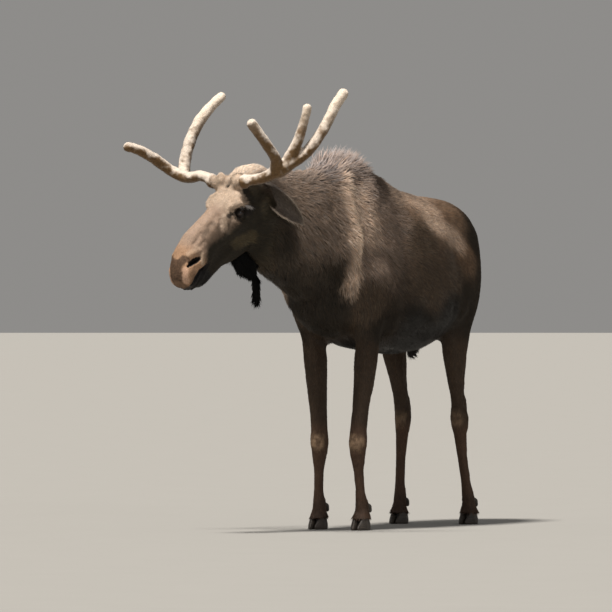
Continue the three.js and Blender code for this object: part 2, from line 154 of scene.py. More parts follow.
def leg_line(foot, levels=14, margin=0.01, neighbours=20):
    """The middle of a leg at rising heights, from the points of its CAD nodes nearest to each height."""
    nodes = [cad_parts[f"leg_{foot}_{part}"] for part in ("lower", "upper")]
    points = np.concatenate([positions(node.data) for node in nodes]) - ORIGIN
    middles = []
    for height in np.linspace(points[:, 2].min() + margin, points[:, 2].max() - margin, levels):
        near = points[np.argsort(np.abs(points[:, 2] - height))[:neighbours]]
        middles.append([*(near[:, :2].min(0) + near[:, :2].max(0)) / 2, height])
    return np.array(middles)


def leg_middle(foot, heights):
    """The middle of a leg at any heights, seen from above."""
    line = LEG_LINES[foot]
    return np.stack([np.interp(heights, line[:, 2], line[:, i]) for i in (0, 1)], axis=-1)


# ---- Meshes ----------------------------------------------------------------------------------------
def positions(mesh):
    values = np.empty(len(mesh.vertices) * 3)
    mesh.vertices.foreach_get("co", values)
    return values.reshape(-1, 3)


def set_positions(mesh, points):
    mesh.vertices.foreach_set("co", np.asarray(points, float).ravel())
    mesh.update()


def vertex_normals(mesh):
    values = np.empty(len(mesh.vertices) * 3, np.float32)
    mesh.vertex_normals.foreach_get("vector", values)
    return values.reshape(-1, 3).astype(float)


def triangles(mesh):
    mesh.calc_loop_triangles()
    values = np.empty(len(mesh.loop_triangles) * 3, np.int32)
    mesh.loop_triangles.foreach_get("vertices", values)
    return values.reshape(-1, 3)


def add_object(name, mesh):
    obj = bpy.data.objects.new(name, mesh)
    bpy.context.scene.collection.objects.link(obj)
    return obj


def mesh_of(name, points, faces):
    """A mesh from points and equal-sided faces."""
    faces = np.asarray(faces, np.int32)
    mesh = bpy.data.meshes.new(name)
    mesh.vertices.add(len(points))
    mesh.vertices.foreach_set("co", np.asarray(points, np.float32).ravel())
    mesh.loops.add(faces.size)
    mesh.loops.foreach_set("vertex_index", faces.ravel())
    mesh.polygons.add(len(faces))
    mesh.polygons.foreach_set("loop_start", np.arange(0, faces.size, faces.shape[1], dtype=np.int32))
    mesh.update(calc_edges=True)
    return mesh


def cad_solid(node):
    """A CAD node's points and triangles in the animal's frame, grown a little."""
    bm = bmesh.new()
    bm.from_mesh(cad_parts[node].data)
    bmesh.ops.remove_doubles(bm, verts=bm.verts, dist=1e-5)
    bmesh.ops.triangulate(bm, faces=bm.faces)
    bm.normal_update()
    points = np.array([v.co + v.normal * SEAM for v in bm.verts])
    faces = np.array([[v.index for v in f.verts] for f in bm.faces])
    bm.free()
    return points - ORIGIN, faces


def joined(solids):
    points, faces, count = [], [], 0
    for some_points, some_faces in solids:
        points.append(some_points)
        faces.append(some_faces + count)
        count += len(some_points)
    return np.concatenate(points), np.concatenate(faces)


def remeshed(name, solid, voxel):
    """One closed mesh of even quads around overlapping solids."""
    obj = add_object(name + "_raw", mesh_of(name, *solid))
    modifier = obj.modifiers.new("remesh", "REMESH")
    modifier.mode = "VOXEL"
    modifier.voxel_size = voxel
    depsgraph = bpy.context.evaluated_depsgraph_get()
    mesh = bpy.data.meshes.new_from_object(obj.evaluated_get(depsgraph))
    mesh.name = name
    raw = obj.data
    bpy.data.objects.remove(obj)
    bpy.data.meshes.remove(raw)
    return mesh


class Net:
    """The neighbours of each vertex of a mesh."""

    def __init__(self, mesh):
        edges = np.empty(len(mesh.edges) * 2, np.int32)
        mesh.edges.foreach_get("vertices", edges)
        edges = edges.reshape(-1, 2)
        start = np.concatenate([edges[:, 0], edges[:, 1]])
        end = np.concatenate([edges[:, 1], edges[:, 0]])
        order = np.argsort(start, kind="stable")
        count = len(mesh.vertices)
        self.end = end[order]
        self.first = np.searchsorted(start[order], np.arange(count))
        self.degree = np.bincount(start, minlength=count)[:, None]

    def mean(self, values):
        return np.add.reduceat(values[self.end], self.first, axis=0) / self.degree

    def blur(self, values, share, times):
        """Moves each value towards its neighbours' mean, by a share that may differ from place to place."""
        for _ in range(times):
            values = values + share * (self.mean(values) - values)
        return values

    def smooth(self, values, share, times, keeps=2):
        """A blur that keeps large shapes at their size: what each blur lost is blurred and given back."""
        result = self.blur(values, share, times)
        for _ in range(keeps):
            result = result + self.blur(values - result, share, times)
        return result


def spread(sigma, most, voxel):
    """The share of a blur that reaches sigma where the widest one reaches most, and its number of steps."""
    times = int(math.ceil(4 * (most / voxel) ** 2))
    return 0.5 * (np.asarray(sigma) / most)[:, None] ** 2, times


# ---- Noise -----------------------------------------------------------------------------------------
def lattice(cells, seed):
    """A steady random number from 0 to 1 for each whole-numbered cell."""
    cells = cells.astype(np.int64)
    mixed = cells[:, 0] * 73856093 ^ cells[:, 1] * 19349663 ^ cells[:, 2] * 83492791 ^ (seed * 2654435761)
    mixed = (mixed ^ (mixed >> 13)) * 1274126177 & 0xFFFFFFFF
    mixed = (mixed ^ (mixed >> 16)) * 2246822519 & 0xFFFFFFFF
    return ((mixed ^ (mixed >> 15)) & 0xFFFFFF) / 0xFFFFFF


def noise(points, size, seed, octaves=1):
    """Smooth noise from -1 to 1 whose lumps are about one size across."""
    total = np.zeros(len(points))
    reach = 0.0
    for octave in range(octaves):
        place = points / (size / 2**octave)
        cell = np.floor(place)
        share = place - cell
        share = share * share * (3 - 2 * share)
        value = np.zeros(len(points))
        for corner in np.ndindex(2, 2, 2):
            corner = np.array(corner)
            weight = np.prod(np.where(corner, share, 1 - share), axis=1)
            value += weight * lattice(cell + corner, seed + octave * 101)
        total += (2 * value - 1) * 0.5**octave
        reach += 0.5**octave
    return total / reach


# ---- Skin ------------------------------------------------------------------------------------------
FLESH = ["trunk", "neck", "head", "lower_jaw", "tail"]
FLESH += [f"leg_{foot}_{part}" for foot in FEET for part in ("upper", "lower")]

# The top of the flesh under the long hair of the shoulders: place along the body, and height.
RIDGE = vec(
    (-0.46, 1.868), (-0.20, 1.876), (0.0, 1.872), (0.16, 1.862), (0.31, 1.832), (0.46, 1.786), (0.6, 1.74)
)
RIDGE_HALF_WIDTH = 0.2
RIDGE_DROP = 1.9  # how fast the flesh falls away to the sides of it, per metre squared

LEG_LINES = {foot: leg_line(foot) for foot in FEET}


def under_mane(points):
    """The points, with the ridge of standing hair taken off."""
    x, y, z = points.T
    top = np.interp(y, RIDGE[:, 0], RIDGE[:, 1]) - RIDGE_DROP * x * x
    on_ridge = (y > RIDGE[0, 0]) & (y < RIDGE[-1, 0]) & (np.abs(x) < RIDGE_HALF_WIDTH)
    return points - np.where(on_ridge, np.maximum(z - top, 0), 0)[:, None] * UP


def head_share(points):
    """1 on the head and 0 behind it."""
    away = points - CROWN
    return ramp(away @ HEADING, -0.17, -0.08)


def leg_share(points):
    """1 on the legs and 0 on the body."""
    return ramp(points[:, 2], 0.98, 0.84)


WIDEST_SMOOTHING = 0.050


def reach_of_smoothing(points):
    """How widely the corners of the solids are rounded off: most on the body, least on the head and legs."""
    y, z = points[:, 1], points[:, 2]
    sigma = np.full(len(points), WIDEST_SMOOTHING)
    sigma = mix(sigma, 0.040, ramp(y, -0.2, -0.4))
    sigma = mix(sigma, 0.030, ramp(z, 1.25, 1.05))
    sigma = mix(sigma, 0.016, leg_share(points))
    sigma = mix(sigma, 0.013, head_share(points))
    sigma = mix(sigma, 0.017, head_share(points) * ramp(head_coordinates(points)[0], 0.50, 0.60))
    return mix(sigma, 0.012, ramp(y, 1.24, 1.29) * ramp(z, 1.40, 1.46))


def coat_depth(points):
    """How far the skin lies under the tips of the coat."""
    y = points[:, 1]
    depth = np.full(len(points), 0.011)
    depth = mix(depth, 0.017, ramp(y, 0.15, -0.25))
    depth = mix(depth, 0.005, ramp(y, 0.80, 1.05))
    depth = mix(depth, 0.004, leg_share(points))
    return mix(depth, 0.003, head_share(points))


def refine(mesh, inside):
    """Splits every quad whose middle is inside."""
    bm = bmesh.new()
    bm.from_mesh(mesh)
    chosen = inside(np.array([face.calc_center_median() for face in bm.faces]))
    edges = {edge for face, take in zip(bm.faces, chosen) if take for edge in face.edges}
    bmesh.ops.subdivide_edges(bm, edges=list(edges), cuts=1, use_grid_fill=True)
    bm.to_mesh(mesh)
    bm.free()


# Muscle and bone that show through the coat, on both sides of the body, in side view: a line from one place
# along the body and height to another, how far it reaches, and how high it stands.
BODY_FORMS = (
    ((0.06, 1.74), (-0.16, 1.34), 0.050, 0.006),  # spine of the shoulder blade
    ((-0.19, 1.72), (-0.22, 1.50), 0.075, 0.012),  # front edge of the shoulder
    ((-0.22, 1.50), (-0.24, 1.28), 0.070, 0.013),
    ((-0.24, 1.27), (-0.22, 1.22), 0.070, 0.014),  # point of the shoulder
    ((-0.02, 1.32), (0.10, 1.10), 0.090, 0.014),  # triceps
    ((0.13, 1.04), (0.13, 1.02), 0.045, 0.010),  # elbow
    ((0.26, 1.62), (0.22, 1.16), 0.075, -0.016),  # hollow behind the shoulder
    ((-0.37, 1.66), (-0.37, 1.36), 0.055, -0.014),  # groove before the shoulder
    ((0.45, 1.30), (0.60, 1.10), 0.140, 0.008),  # fullness of the ribs
    ((0.80, 1.50), (0.76, 1.40), 0.095, -0.018),  # hollow of the flank
    ((0.90, 1.63), (0.93, 1.62), 0.055, 0.012),  # point of the hip
    ((1.02, 1.36), (1.06, 1.22), 0.120, 0.010),  # thigh
    ((0.86, 1.13), (0.85, 1.08), 0.065, 0.012),  # stifle
    ((1.12, 1.46), (1.13, 1.10), 0.040, -0.007),  # groove behind the thigh
    ((1.23, 1.53), (1.24, 1.50), 0.045, 0.012),  # pin bone
)

# The same on the head, in its own coordinates: down the face, off the face line, aside.
HEAD_FORMS = (
    ((0.245, -0.044, 0.082), (0.205, -0.058, 0.110), 0.013, 0.010),  # ridge of the brow
    ((0.205, -0.060, 0.110), (0.166, -0.102, 0.108), 0.014, 0.012),
    ((0.166, -0.102, 0.108), (0.158, -0.130, 0.108), 0.013, 0.008),
    ((0.250, -0.066, 0.087), (0.222, -0.086, 0.100), 0.012, -0.010),  # hollow under the brow
    ((0.222, -0.086, 0.102), (0.186, -0.120, 0.108), 0.011, -0.010),
    ((0.254, -0.062, 0.088), (0.264, -0.078, 0.088), 0.009, -0.008),  # pit before the eye
    ((0.246, -0.136, 0.090), (0.284, -0.120, 0.084), 0.013, 0.006),  # pouch under the eye
    ((0.298, -0.056, 0.068), (0.318, -0.086, 0.070), 0.013, 0.006),  # lumps of the cheek before the eye
    ((0.352, -0.080, 0.068), (0.372, -0.098, 0.068), 0.014, 0.005),
    ((0.326, -0.046, 0.062), (0.344, -0.060, 0.062), 0.010, -0.006),  # and pits between them
    ((0.282, -0.092, 0.080), (0.330, -0.108, 0.074), 0.009, -0.004),
    ((0.130, -0.012, 0.000), (0.190, -0.014, 0.000), 0.030, -0.005),  # furrow of the forehead
    ((0.046, 0.004, 0.000), (0.128, -0.012, 0.000), 0.018, -0.021),  # groove between the antlers
    ((0.050, 0.004, 0.050), (0.100, 0.000, 0.046), 0.024, 0.007),  # lumps beside it
    ((0.150, -0.012, 0.060), (0.225, -0.020, 0.055), 0.030, 0.006),  # lump of the forehead
    ((0.270, -0.152, 0.098), (0.400, -0.130, 0.074), 0.020, 0.007),  # cheekbone
    ((0.190, -0.250, 0.090), (0.300, -0.255, 0.080), 0.050, 0.009),  # muscle of the jaw
    ((0.318, -0.026, 0.052), (0.385, -0.018, 0.057), 0.017, -0.006),  # furrow beside the nose bone
    ((0.385, -0.018, 0.058), (0.445, -0.014, 0.062), 0.020, -0.003),
    ((0.450, -0.004, 0.052), (0.482, 0.002, 0.052), 0.018, -0.005),
    ((0.500, 0.000, 0.054), (0.528, 0.004, 0.052), 0.012, -0.004),
    ((0.480, -0.034, 0.066), (0.520, -0.028, 0.068), 0.015, -0.003),
    ((0.340, -0.190, 0.070), (0.440, -0.170, 0.060), 0.026, -0.007),  # hollow of the cheek
    ((0.536, -0.034, 0.070), (0.600, 0.002, 0.064), 0.019, 0.007),  # roll over the nostril
    ((0.540, -0.064, 0.070), (0.580, -0.086, 0.073), 0.017, 0.007),  # rim behind the nostril
    ((0.664, -0.050, 0.070), (0.690, -0.088, 0.056), 0.026, 0.009),  # fullness of the upper lip
    ((0.600, -0.136, 0.066), (0.650, -0.138, 0.058), 0.007, 0.005),  # rim of the lower lip
    ((0.650, -0.138, 0.058), (0.694, -0.146, 0.026), 0.007, 0.005),
)

# Bone and sinew of the legs: from one height to another, the side of the leg in degrees from its front
# outwards, how far it reaches, and how high it stands.
FORE_FORMS = (
    (0.492, 0.478, 0, 0.020, 0.005),  # knee
    (0.440, 0.430, 20, 0.018, 0.005),
    (0.460, 0.458, 0, 0.010, -0.003),
    (0.480, 0.462, 180, 0.022, 0.009),
    (0.480, 0.440, 90, 0.020, 0.003),
    (0.380, 0.170, 125, 0.011, -0.004),  # groove before the tendon
    (0.380, 0.170, 235, 0.011, -0.004),
    (0.132, 0.120, 180, 0.020, 0.006),  # fetlock
    (0.132, 0.125, 0, 0.018, 0.003),
    (0.780, 0.620, 70, 0.030, 0.004),  # muscle of the forearm
    (0.700, 0.540, 130, 0.016, -0.004),
    (0.096, 0.084, 0, 0.016, -0.004),
)
HIND_FORMS = (
    (0.655, 0.620, 180, 0.022, 0.014),  # point of the hock
    (0.800, 0.670, 120, 0.020, -0.009),  # hollow before its tendon
    (0.800, 0.670, 240, 0.020, -0.009),
    (0.600, 0.560, 90, 0.022, 0.004),
    (0.600, 0.560, 270, 0.022, 0.004),
    (0.640, 0.620, 0, 0.016, -0.004),
    (0.575, 0.560, 10, 0.016, 0.004),
    (0.480, 0.200, 125, 0.011, -0.004),  # groove before the tendon
    (0.480, 0.200, 235, 0.011, -0.004),
    (0.132, 0.120, 180, 0.020, 0.006),  # fetlock
    (0.096, 0.084, 0, 0.016, -0.004),
)
LEFT_HOCK_FORMS = (  # the left hock lies lower in the photograph than in the CAD
    (0.700, 0.635, 110, 0.034, -0.009),
    (0.700, 0.635, 290, 0.034, -0.009),
    (0.560, 0.520, 110, 0.030, 0.005),
    (0.560, 0.520, 290, 0.030, 0.005),
)


def from_line(points, start, end):
    """Each point's distance from a straight line between two points, in the plane or in space."""
    start, run = np.asarray(start, float), np.asarray(end, float) - np.asarray(start, float)
    share = np.clip((points - start) @ run / max(run @ run, 1e-12), 0, 1)
    return np.linalg.norm(points - start - share[:, None] * run, axis=1)


def swell(distance, reach, height):
    return height * np.exp(-((distance / reach) ** 2) * 1.4)


def leg_forms(points, foot):
    """How far each point of the skin moves for the forms of one leg."""
    outward = 1.0 if foot.endswith("left") else -1.0
    away = points[:, :2] - leg_middle(foot, points[:, 2])
    reach = np.hypot(*away.T)
    bearing = np.degrees(np.arctan2(away[:, 0] * outward, -away[:, 1]))
    rise = np.zeros(len(points))
    forms = FORE_FORMS if foot.startswith("front") else HIND_FORMS
    if foot == "hind_left":
        forms = forms + LEFT_HOCK_FORMS
    for top, bottom, side, size, height in forms:
        above = np.maximum(points[:, 2] - top, 0) + np.maximum(bottom - points[:, 2], 0)
        turn = np.abs((bearing - side + 180) % 360 - 180)
        rise += swell(np.hypot(above, np.radians(turn) * reach), size, height)
    return rise * ramp(reach, 0.10, 0.08) * leg_share(points)


def sculpt(points, normals):
    """How far each point of the skin moves along its normal for the muscles and bones."""
    rise = np.zeros(len(points))
    side = ramp(np.abs(normals[:, 0]), 0.15, 0.6) * (1 - head_share(points))
    for start, end, reach, height in BODY_FORMS:
        rise += side * swell(from_line(points[:, 1:], start, end), reach, height)
    on_face = half_head(points)
    for start, end, reach, height in HEAD_FORMS:
        rise += swell(from_line(on_face, start, end), reach, height)
    for foot in FEET:
        rise += leg_forms(points, foot)
    return rise


# The openings of the muzzle: points down the face, off it and aside, and how wide and deep they are there.
NOSTRIL = (
    ((0.572, -0.056, 0.075), 0.009, 0.014),
    ((0.586, -0.049, 0.077), 0.016, 0.028),
    ((0.604, -0.040, 0.076), 0.017, 0.030),
    ((0.628, -0.032, 0.072), 0.010, 0.020),
    ((0.646, -0.030, 0.066), 0.005, 0.009),
)
MOUTH = (
    ((0.490, -0.156, 0.052), 0.004, 0.004),
    ((0.530, -0.140, 0.060), 0.006, 0.008),
    ((0.570, -0.120, 0.068), 0.010, 0.014),
    ((0.615, -0.106, 0.074), 0.014, 0.020),
    ((0.655, -0.109, 0.072), 0.018, 0.024),
    ((0.688, -0.118, 0.054), 0.018, 0.024),
    ((0.706, -0.130, 0.020), 0.012, 0.020),
    ((0.712, -0.136, 0.000), 0.010, 0.018),
)


def opening(points, path, spread=0.62, floor=0.002):
    """How deep an opening is at each point of the skin: its sides reach a little past its width, to a narrow
    floor."""
    on_face = half_head(points)
    deepest = np.zeros(len(points))
    for (start, width, depth), (end, end_width, end_depth) in zip(path, path[1:]):
        sides = ramp(from_line(on_face, start, end), (width + end_width) * spread, floor)
        deepest = np.maximum(deepest, (depth + end_depth) / 2 * sides)
    return deepest


# ---- Eyes' openings --------------------------------------------------------------------------------
LID_HALF_LENGTH, LID_HALF_HEIGHT = 0.0172, 0.0104
LID_SLOPE = math.radians(14)  # the inner corner lies nearer the face line than the outer one
LID_FILLET = 0.007  # how softly the lids run into the skin round them
SOCKET_DEPTH = 0.030  # the depth under the eye's centre that the lids are drawn away from
BEHIND_EYE = 0.004  # how deep the skin lies under the eyeball's surface, inside the lids


def eye_frame(side):
    """The eye's centre, and the way it looks, along its slit towards the nose, and across the slit."""
    aside = 1.0 if side == "left" else -1.0
    out = unit(LEFT * aside * 0.93 + ALONG * 0.22 + OVER * 0.26)
    slit = ALONG * math.cos(LID_SLOPE) + OVER * math.sin(LID_SLOPE)
    slit = unit(slit - out * (slit @ out))
    across = np.cross(out, slit) * -aside
    return EYES[side], out, slit, across


def lid_curve(side, count=96):
    """Points round the edge of the lids, on the eyeball's surface."""
    centre, out, slit, across = eye_frame(side)
    angle = np.linspace(0, 2 * math.pi, count, endpoint=False)
    u = LID_HALF_LENGTH * np.cos(angle)
    v = LID_HALF_HEIGHT * np.sin(angle) * np.abs(np.sin(angle)) ** 0.25
    depth = np.sqrt(np.maximum(EYE_RADIUS**2 - u**2 - v**2, 0))
    return centre + u[:, None] * slit + v[:, None] * across + depth[:, None] * out


def open_eyes(points):
    """Draws the skin over the eyeballs as lids, and behind their surface inside the lids' edges. Also tells
    where the skin round the lids is free to settle."""
    loose = np.zeros(len(points))
    for side, _ in SIDES:
        centre, out, slit, across = eye_frame(side)
        socket = centre - out * SOCKET_DEPTH
        distance = np.linalg.norm(points - socket, axis=1)
        way = unit(points - socket)
        half = SOCKET_DEPTH * (way @ out)

        def surface(radius):
            """How far from the socket's depth each point's way leaves a ball round the eye's centre."""
            square = half**2 - SOCKET_DEPTH**2 + radius**2
            return half + np.where(square > 0, 1, -2) * np.sqrt(np.abs(square))

        bare = surface(EYE_RADIUS)
        on_ball = socket + way * bare[:, None] - centre
        inside = np.hypot(on_ball @ slit / LID_HALF_LENGTH, on_ball @ across / LID_HALF_HEIGHT)
        inside = np.where(bare > half, inside, 9)
        roll = 0.0014 + 0.0018 * ramp(inside, 1.62, 1.3) + 0.0014 * ramp(inside, 1.75, 2.1)
        lid = surface(EYE_RADIUS + roll)
        drawn = (distance + lid + np.hypot(distance - lid, LID_FILLET)) / 2 - LID_FILLET**2 / (4 * distance)
        drawn = drawn + (lid - drawn) * ramp(inside, 2.3, 1.5)
        goal = np.where(inside < 1, surface(EYE_RADIUS - BEHIND_EYE), drawn)
        near = ramp(distance, 0.085, 0.070) * ramp(way @ out, 0.2, 0.4)
        points = points + way * ((goal - distance) * near)[:, None]
        round_lids = ramp(inside, 1.5, 1.9) * ramp(np.linalg.norm(points - centre, axis=1), 0.050, 0.035)
        loose = np.maximum(loose, round_lids)
    return points, loose


FOOT_TOP, HOOF_TOP = 0.125, 0.078  # heights
FOOT_FLARE = 0.26  # how much wider the foot grows over the tops of the hooves
FOOT_DROP = 0.012  # and how far it comes down over them
FOOT_REACH = 0.12  # how far from the middle of its leg


def flared(points):
    """The feet, widened and lowered over the tops of the hooves."""
    share = ramp(points[:, 2], FOOT_TOP, HOOF_TOP)
    points = points - FOOT_DROP * share[:, None] * UP
    for foot in FEET:
        away = points[:, :2] - LEG_LINES[foot][0, :2]
        near = np.hypot(*away.T) < FOOT_REACH
        points[:, :2] += away * (FOOT_FLARE * share * near)[:, None]
    return points


def near_eyes(points, reach):
    """Whether each point is within reach of an eye's centre."""
    return np.minimum(*[np.linalg.norm(points - EYES[side], axis=1) for side, _ in SIDES]) < reach


def make_body_skin():
    """The skin of the body, neck, head, legs and tail as one surface, and how deep its openings are."""
    points, faces = joined([cad_solid(node) for node in FLESH])
    mesh = remeshed("skin", (under_mane(points), faces), SKIN_VOXEL)
    net = Net(mesh)
    points = positions(mesh)
    points = net.smooth(points, *spread(reach_of_smoothing(points), WIDEST_SMOOTHING, SKIN_VOXEL))
    set_positions(mesh, points)
    points = points - vertex_normals(mesh) * net.blur(coat_depth(points)[:, None], 0.5, 6)
    set_positions(mesh, points)

    refine(mesh, lambda at: (head_share(at) > 0.3) | (at[:, 2] < 0.68))
    refine(mesh, lambda at: near_eyes(at, 0.060) | (head_coordinates(at)[0] > 0.45))
    for reach in (0.042, 0.026):
        refine(mesh, lambda at: near_eyes(at, reach))
    net = Net(mesh)
    points = positions(mesh)
    small = np.maximum(head_share(points), ramp(points[:, 2], 0.75, 0.65))
    points = net.smooth(points, 0.5 * small[:, None], 10)
    set_positions(mesh, points)

    normals = vertex_normals(mesh)
    hollow = np.maximum(opening(points, NOSTRIL), opening(points, MOUTH))
    points = points + normals * (sculpt(points, normals) - hollow)[:, None]
    points, loose = open_eyes(flared(points))
    set_positions(mesh, net.blur(points, 0.6 * loose[:, None], 40))
    return mesh, hollow


# An ear's half width, and half the angle that it curls through, from root to tip.
EAR_SHAPE = vec(
    (0.00, 0.024, 160), (0.10, 0.032, 140), (0.25, 0.045, 115), (0.45, 0.052, 95),
    (0.65, 0.048, 82), (0.82, 0.034, 72), (0.93, 0.018, 62), (1.00, 0.003, 55),
)
EAR_THICKNESS, EAR_EDGE = 0.005, 0.0012
EAR_ROOT = 0.026  # how far its root runs into the head
EAR_START = 0.08  # how far before the CAD's root it starts, as a share of its length
EAR_BEND = 0.012  # how far its middle stands out from the straight line


def make_ear_skin(side, rows=36, across=25):
    """The cupped shell of an ear, from the CAD's root to its tip, as a closed mesh, and each point's place on
    it: how far to the tip, how far to the edge, and whether it faces out of the cup."""
    points, _ = cad_solid(f"ear_{side}")
    from_crown = np.linalg.norm(points - CROWN, axis=1)
    tip = points[np.argmax(from_crown)]
    root = points[np.argsort(from_crown)[:8]].mean(0)
    axis = unit(tip - root)
    outward = 1.0 if side == "left" else -1.0
    opens = LEFT * outward * 0.6 + HEADING * 0.55 - UP * 0.15
    opens = unit(opens - axis * (opens @ axis))
    wide = np.cross(axis, opens)
    u = np.repeat(np.linspace(0, 1, rows) ** 0.9, across)
    v = np.tile(np.linspace(-1, 1, across), rows)
    half, curl = (np.interp(u, EAR_SHAPE[:, 0], EAR_SHAPE[:, i]) for i in (1, 2))
    angle = np.radians(curl) * v
    radius = half / np.sin(np.minimum(np.radians(curl), math.pi / 2))
    middle = root + (tip - root) * (u[:, None] * (1 + EAR_START) - EAR_START)
    middle = middle + opens * (EAR_BEND * np.sin(math.pi * u))[:, None]
    middle = middle - LEFT * outward * EAR_ROOT * ramp(u, 0.16, 0.0)[:, None]
    out_of_cup = opens * np.cos(angle)[:, None] - wide * np.sin(angle)[:, None]
    sheet = middle - out_of_cup * radius[:, None] + opens * (radius * np.cos(np.radians(curl)))[:, None]
    edge = np.abs(v)
    thick = EAR_THICKNESS * np.sqrt(np.clip(1 - (0.97 * edge) ** 4, 0.02, 1)) * ramp(u, 1.0, 0.9) + EAR_EDGE
    inner, outer = sheet + out_of_cup * thick[:, None] / 2, sheet - out_of_cup * thick[:, None] / 2
    count = rows * across
    faces = []
    for i in range(rows - 1):
        for j in range(across - 1):
            a, b, c, d = i * across + j, i * across + j + 1, (i + 1) * across + j + 1, (i + 1) * across + j
            faces += [(a, b, c, d), (d + count, c + count, b + count, a + count)]
    rim = [i * across for i in range(rows)] + [(rows - 1) * across + j for j in range(1, across)]
    rim += [i * across + across - 1 for i in range(rows - 2, -1, -1)] + [j for j in range(across - 2, 0, -1)]
    faces += [(b, a, a + count, b + count) for a, b in zip(rim, rim[1:] + rim[:1])]
    mesh = mesh_of(f"ear_{side}", np.concatenate([inner, outer]), faces)
    bm = bmesh.new()
    bm.from_mesh(mesh)
    bmesh.ops.recalc_face_normals(bm, faces=bm.faces)
    bm.to_mesh(mesh)
    bm.free()
    place = np.stack([np.tile(u, 2), np.tile(v, 2), np.repeat([1.0, 0.0], count)], axis=1)
    lie = axis + np.tile(wide * np.sign(v)[:, None], (2, 1)) * (0.25 * np.tile(edge, 2) ** 2)[:, None]
    return mesh, place, lie


BELL_COAT = 0.012  # how far its skin lies under the tips of its hair
BELL_SHORTER = 0.045  # and its lower end over them
BELL_ROOT = 0.012  # how far its top runs into the throat


def make_bell_skin(body):
    """The flap of the throat under its long hair, with its top drawn into the skin of the throat."""
    mesh = remeshed("bell", cad_solid("bell"), BELL_VOXEL)
    points = Net(mesh).smooth(positions(mesh), 0.5, 12)
    set_positions(mesh, points)
    points = points - vertex_normals(mesh) * BELL_COAT
    low, high = points[:, 2].min(), points[:, 2].max()
    points[:, 2] += BELL_SHORTER * ramp((high - points[:, 2]) / (high - low), 0.4, 1)
    places, normals = positions(body), vertex_normals(body)
    close = np.flatnonzero(np.linalg.norm(places - points.mean(0), axis=1) < 0.5)
    numbers, away = nearest(places[close], points)
    rooted = (places - normals * BELL_ROOT)[close[numbers]]
    set_positions(mesh, points + (rooted - points) * ramp(away, 0.045, 0.020)[:, None])
    return mesh


BODY, EAR, BELL = range(3)


def make_skin():
    """One skin for the body, ears and bell, and what is known at each of its points: the part that it belongs
    to, how deep it lies in an opening, and for the ears its place and the way that its hair lies."""
    body, hollow = make_body_skin()
    ears = [make_ear_skin(side) for side, _ in SIDES]
    meshes = [body] + [mesh for mesh, *_ in ears] + [make_bell_skin(body)]
    part = np.repeat((BODY, EAR, EAR, BELL), [len(mesh.vertices) for mesh in meshes])
    known = {"part": part, "hollow": np.zeros(len(part))}
    known["place"], known["lie"] = np.zeros((2, len(part), 3))
    known["hollow"][part == BODY] = hollow
    known["place"][part == EAR] = np.concatenate([where for _, where, _ in ears])
    known["lie"][part == EAR] = np.concatenate([way for *_, way in ears])
    bm = bmesh.new()
    for mesh in meshes:
        bm.from_mesh(mesh)
    skin = bpy.data.meshes.new("skin")
    bm.to_mesh(skin)
    bm.free()
    return skin, known


# ---- Materials -------------------------------------------------------------------------------------
def srgb(red, green, blue):
    """A colour given as on a screen, from 0 to 255, as the linear numbers that shaders use."""
    values = vec(red, green, blue) / 255
    return np.where(values <= 0.04045, values / 12.92, ((values + 0.055) / 1.055) ** 2.4)


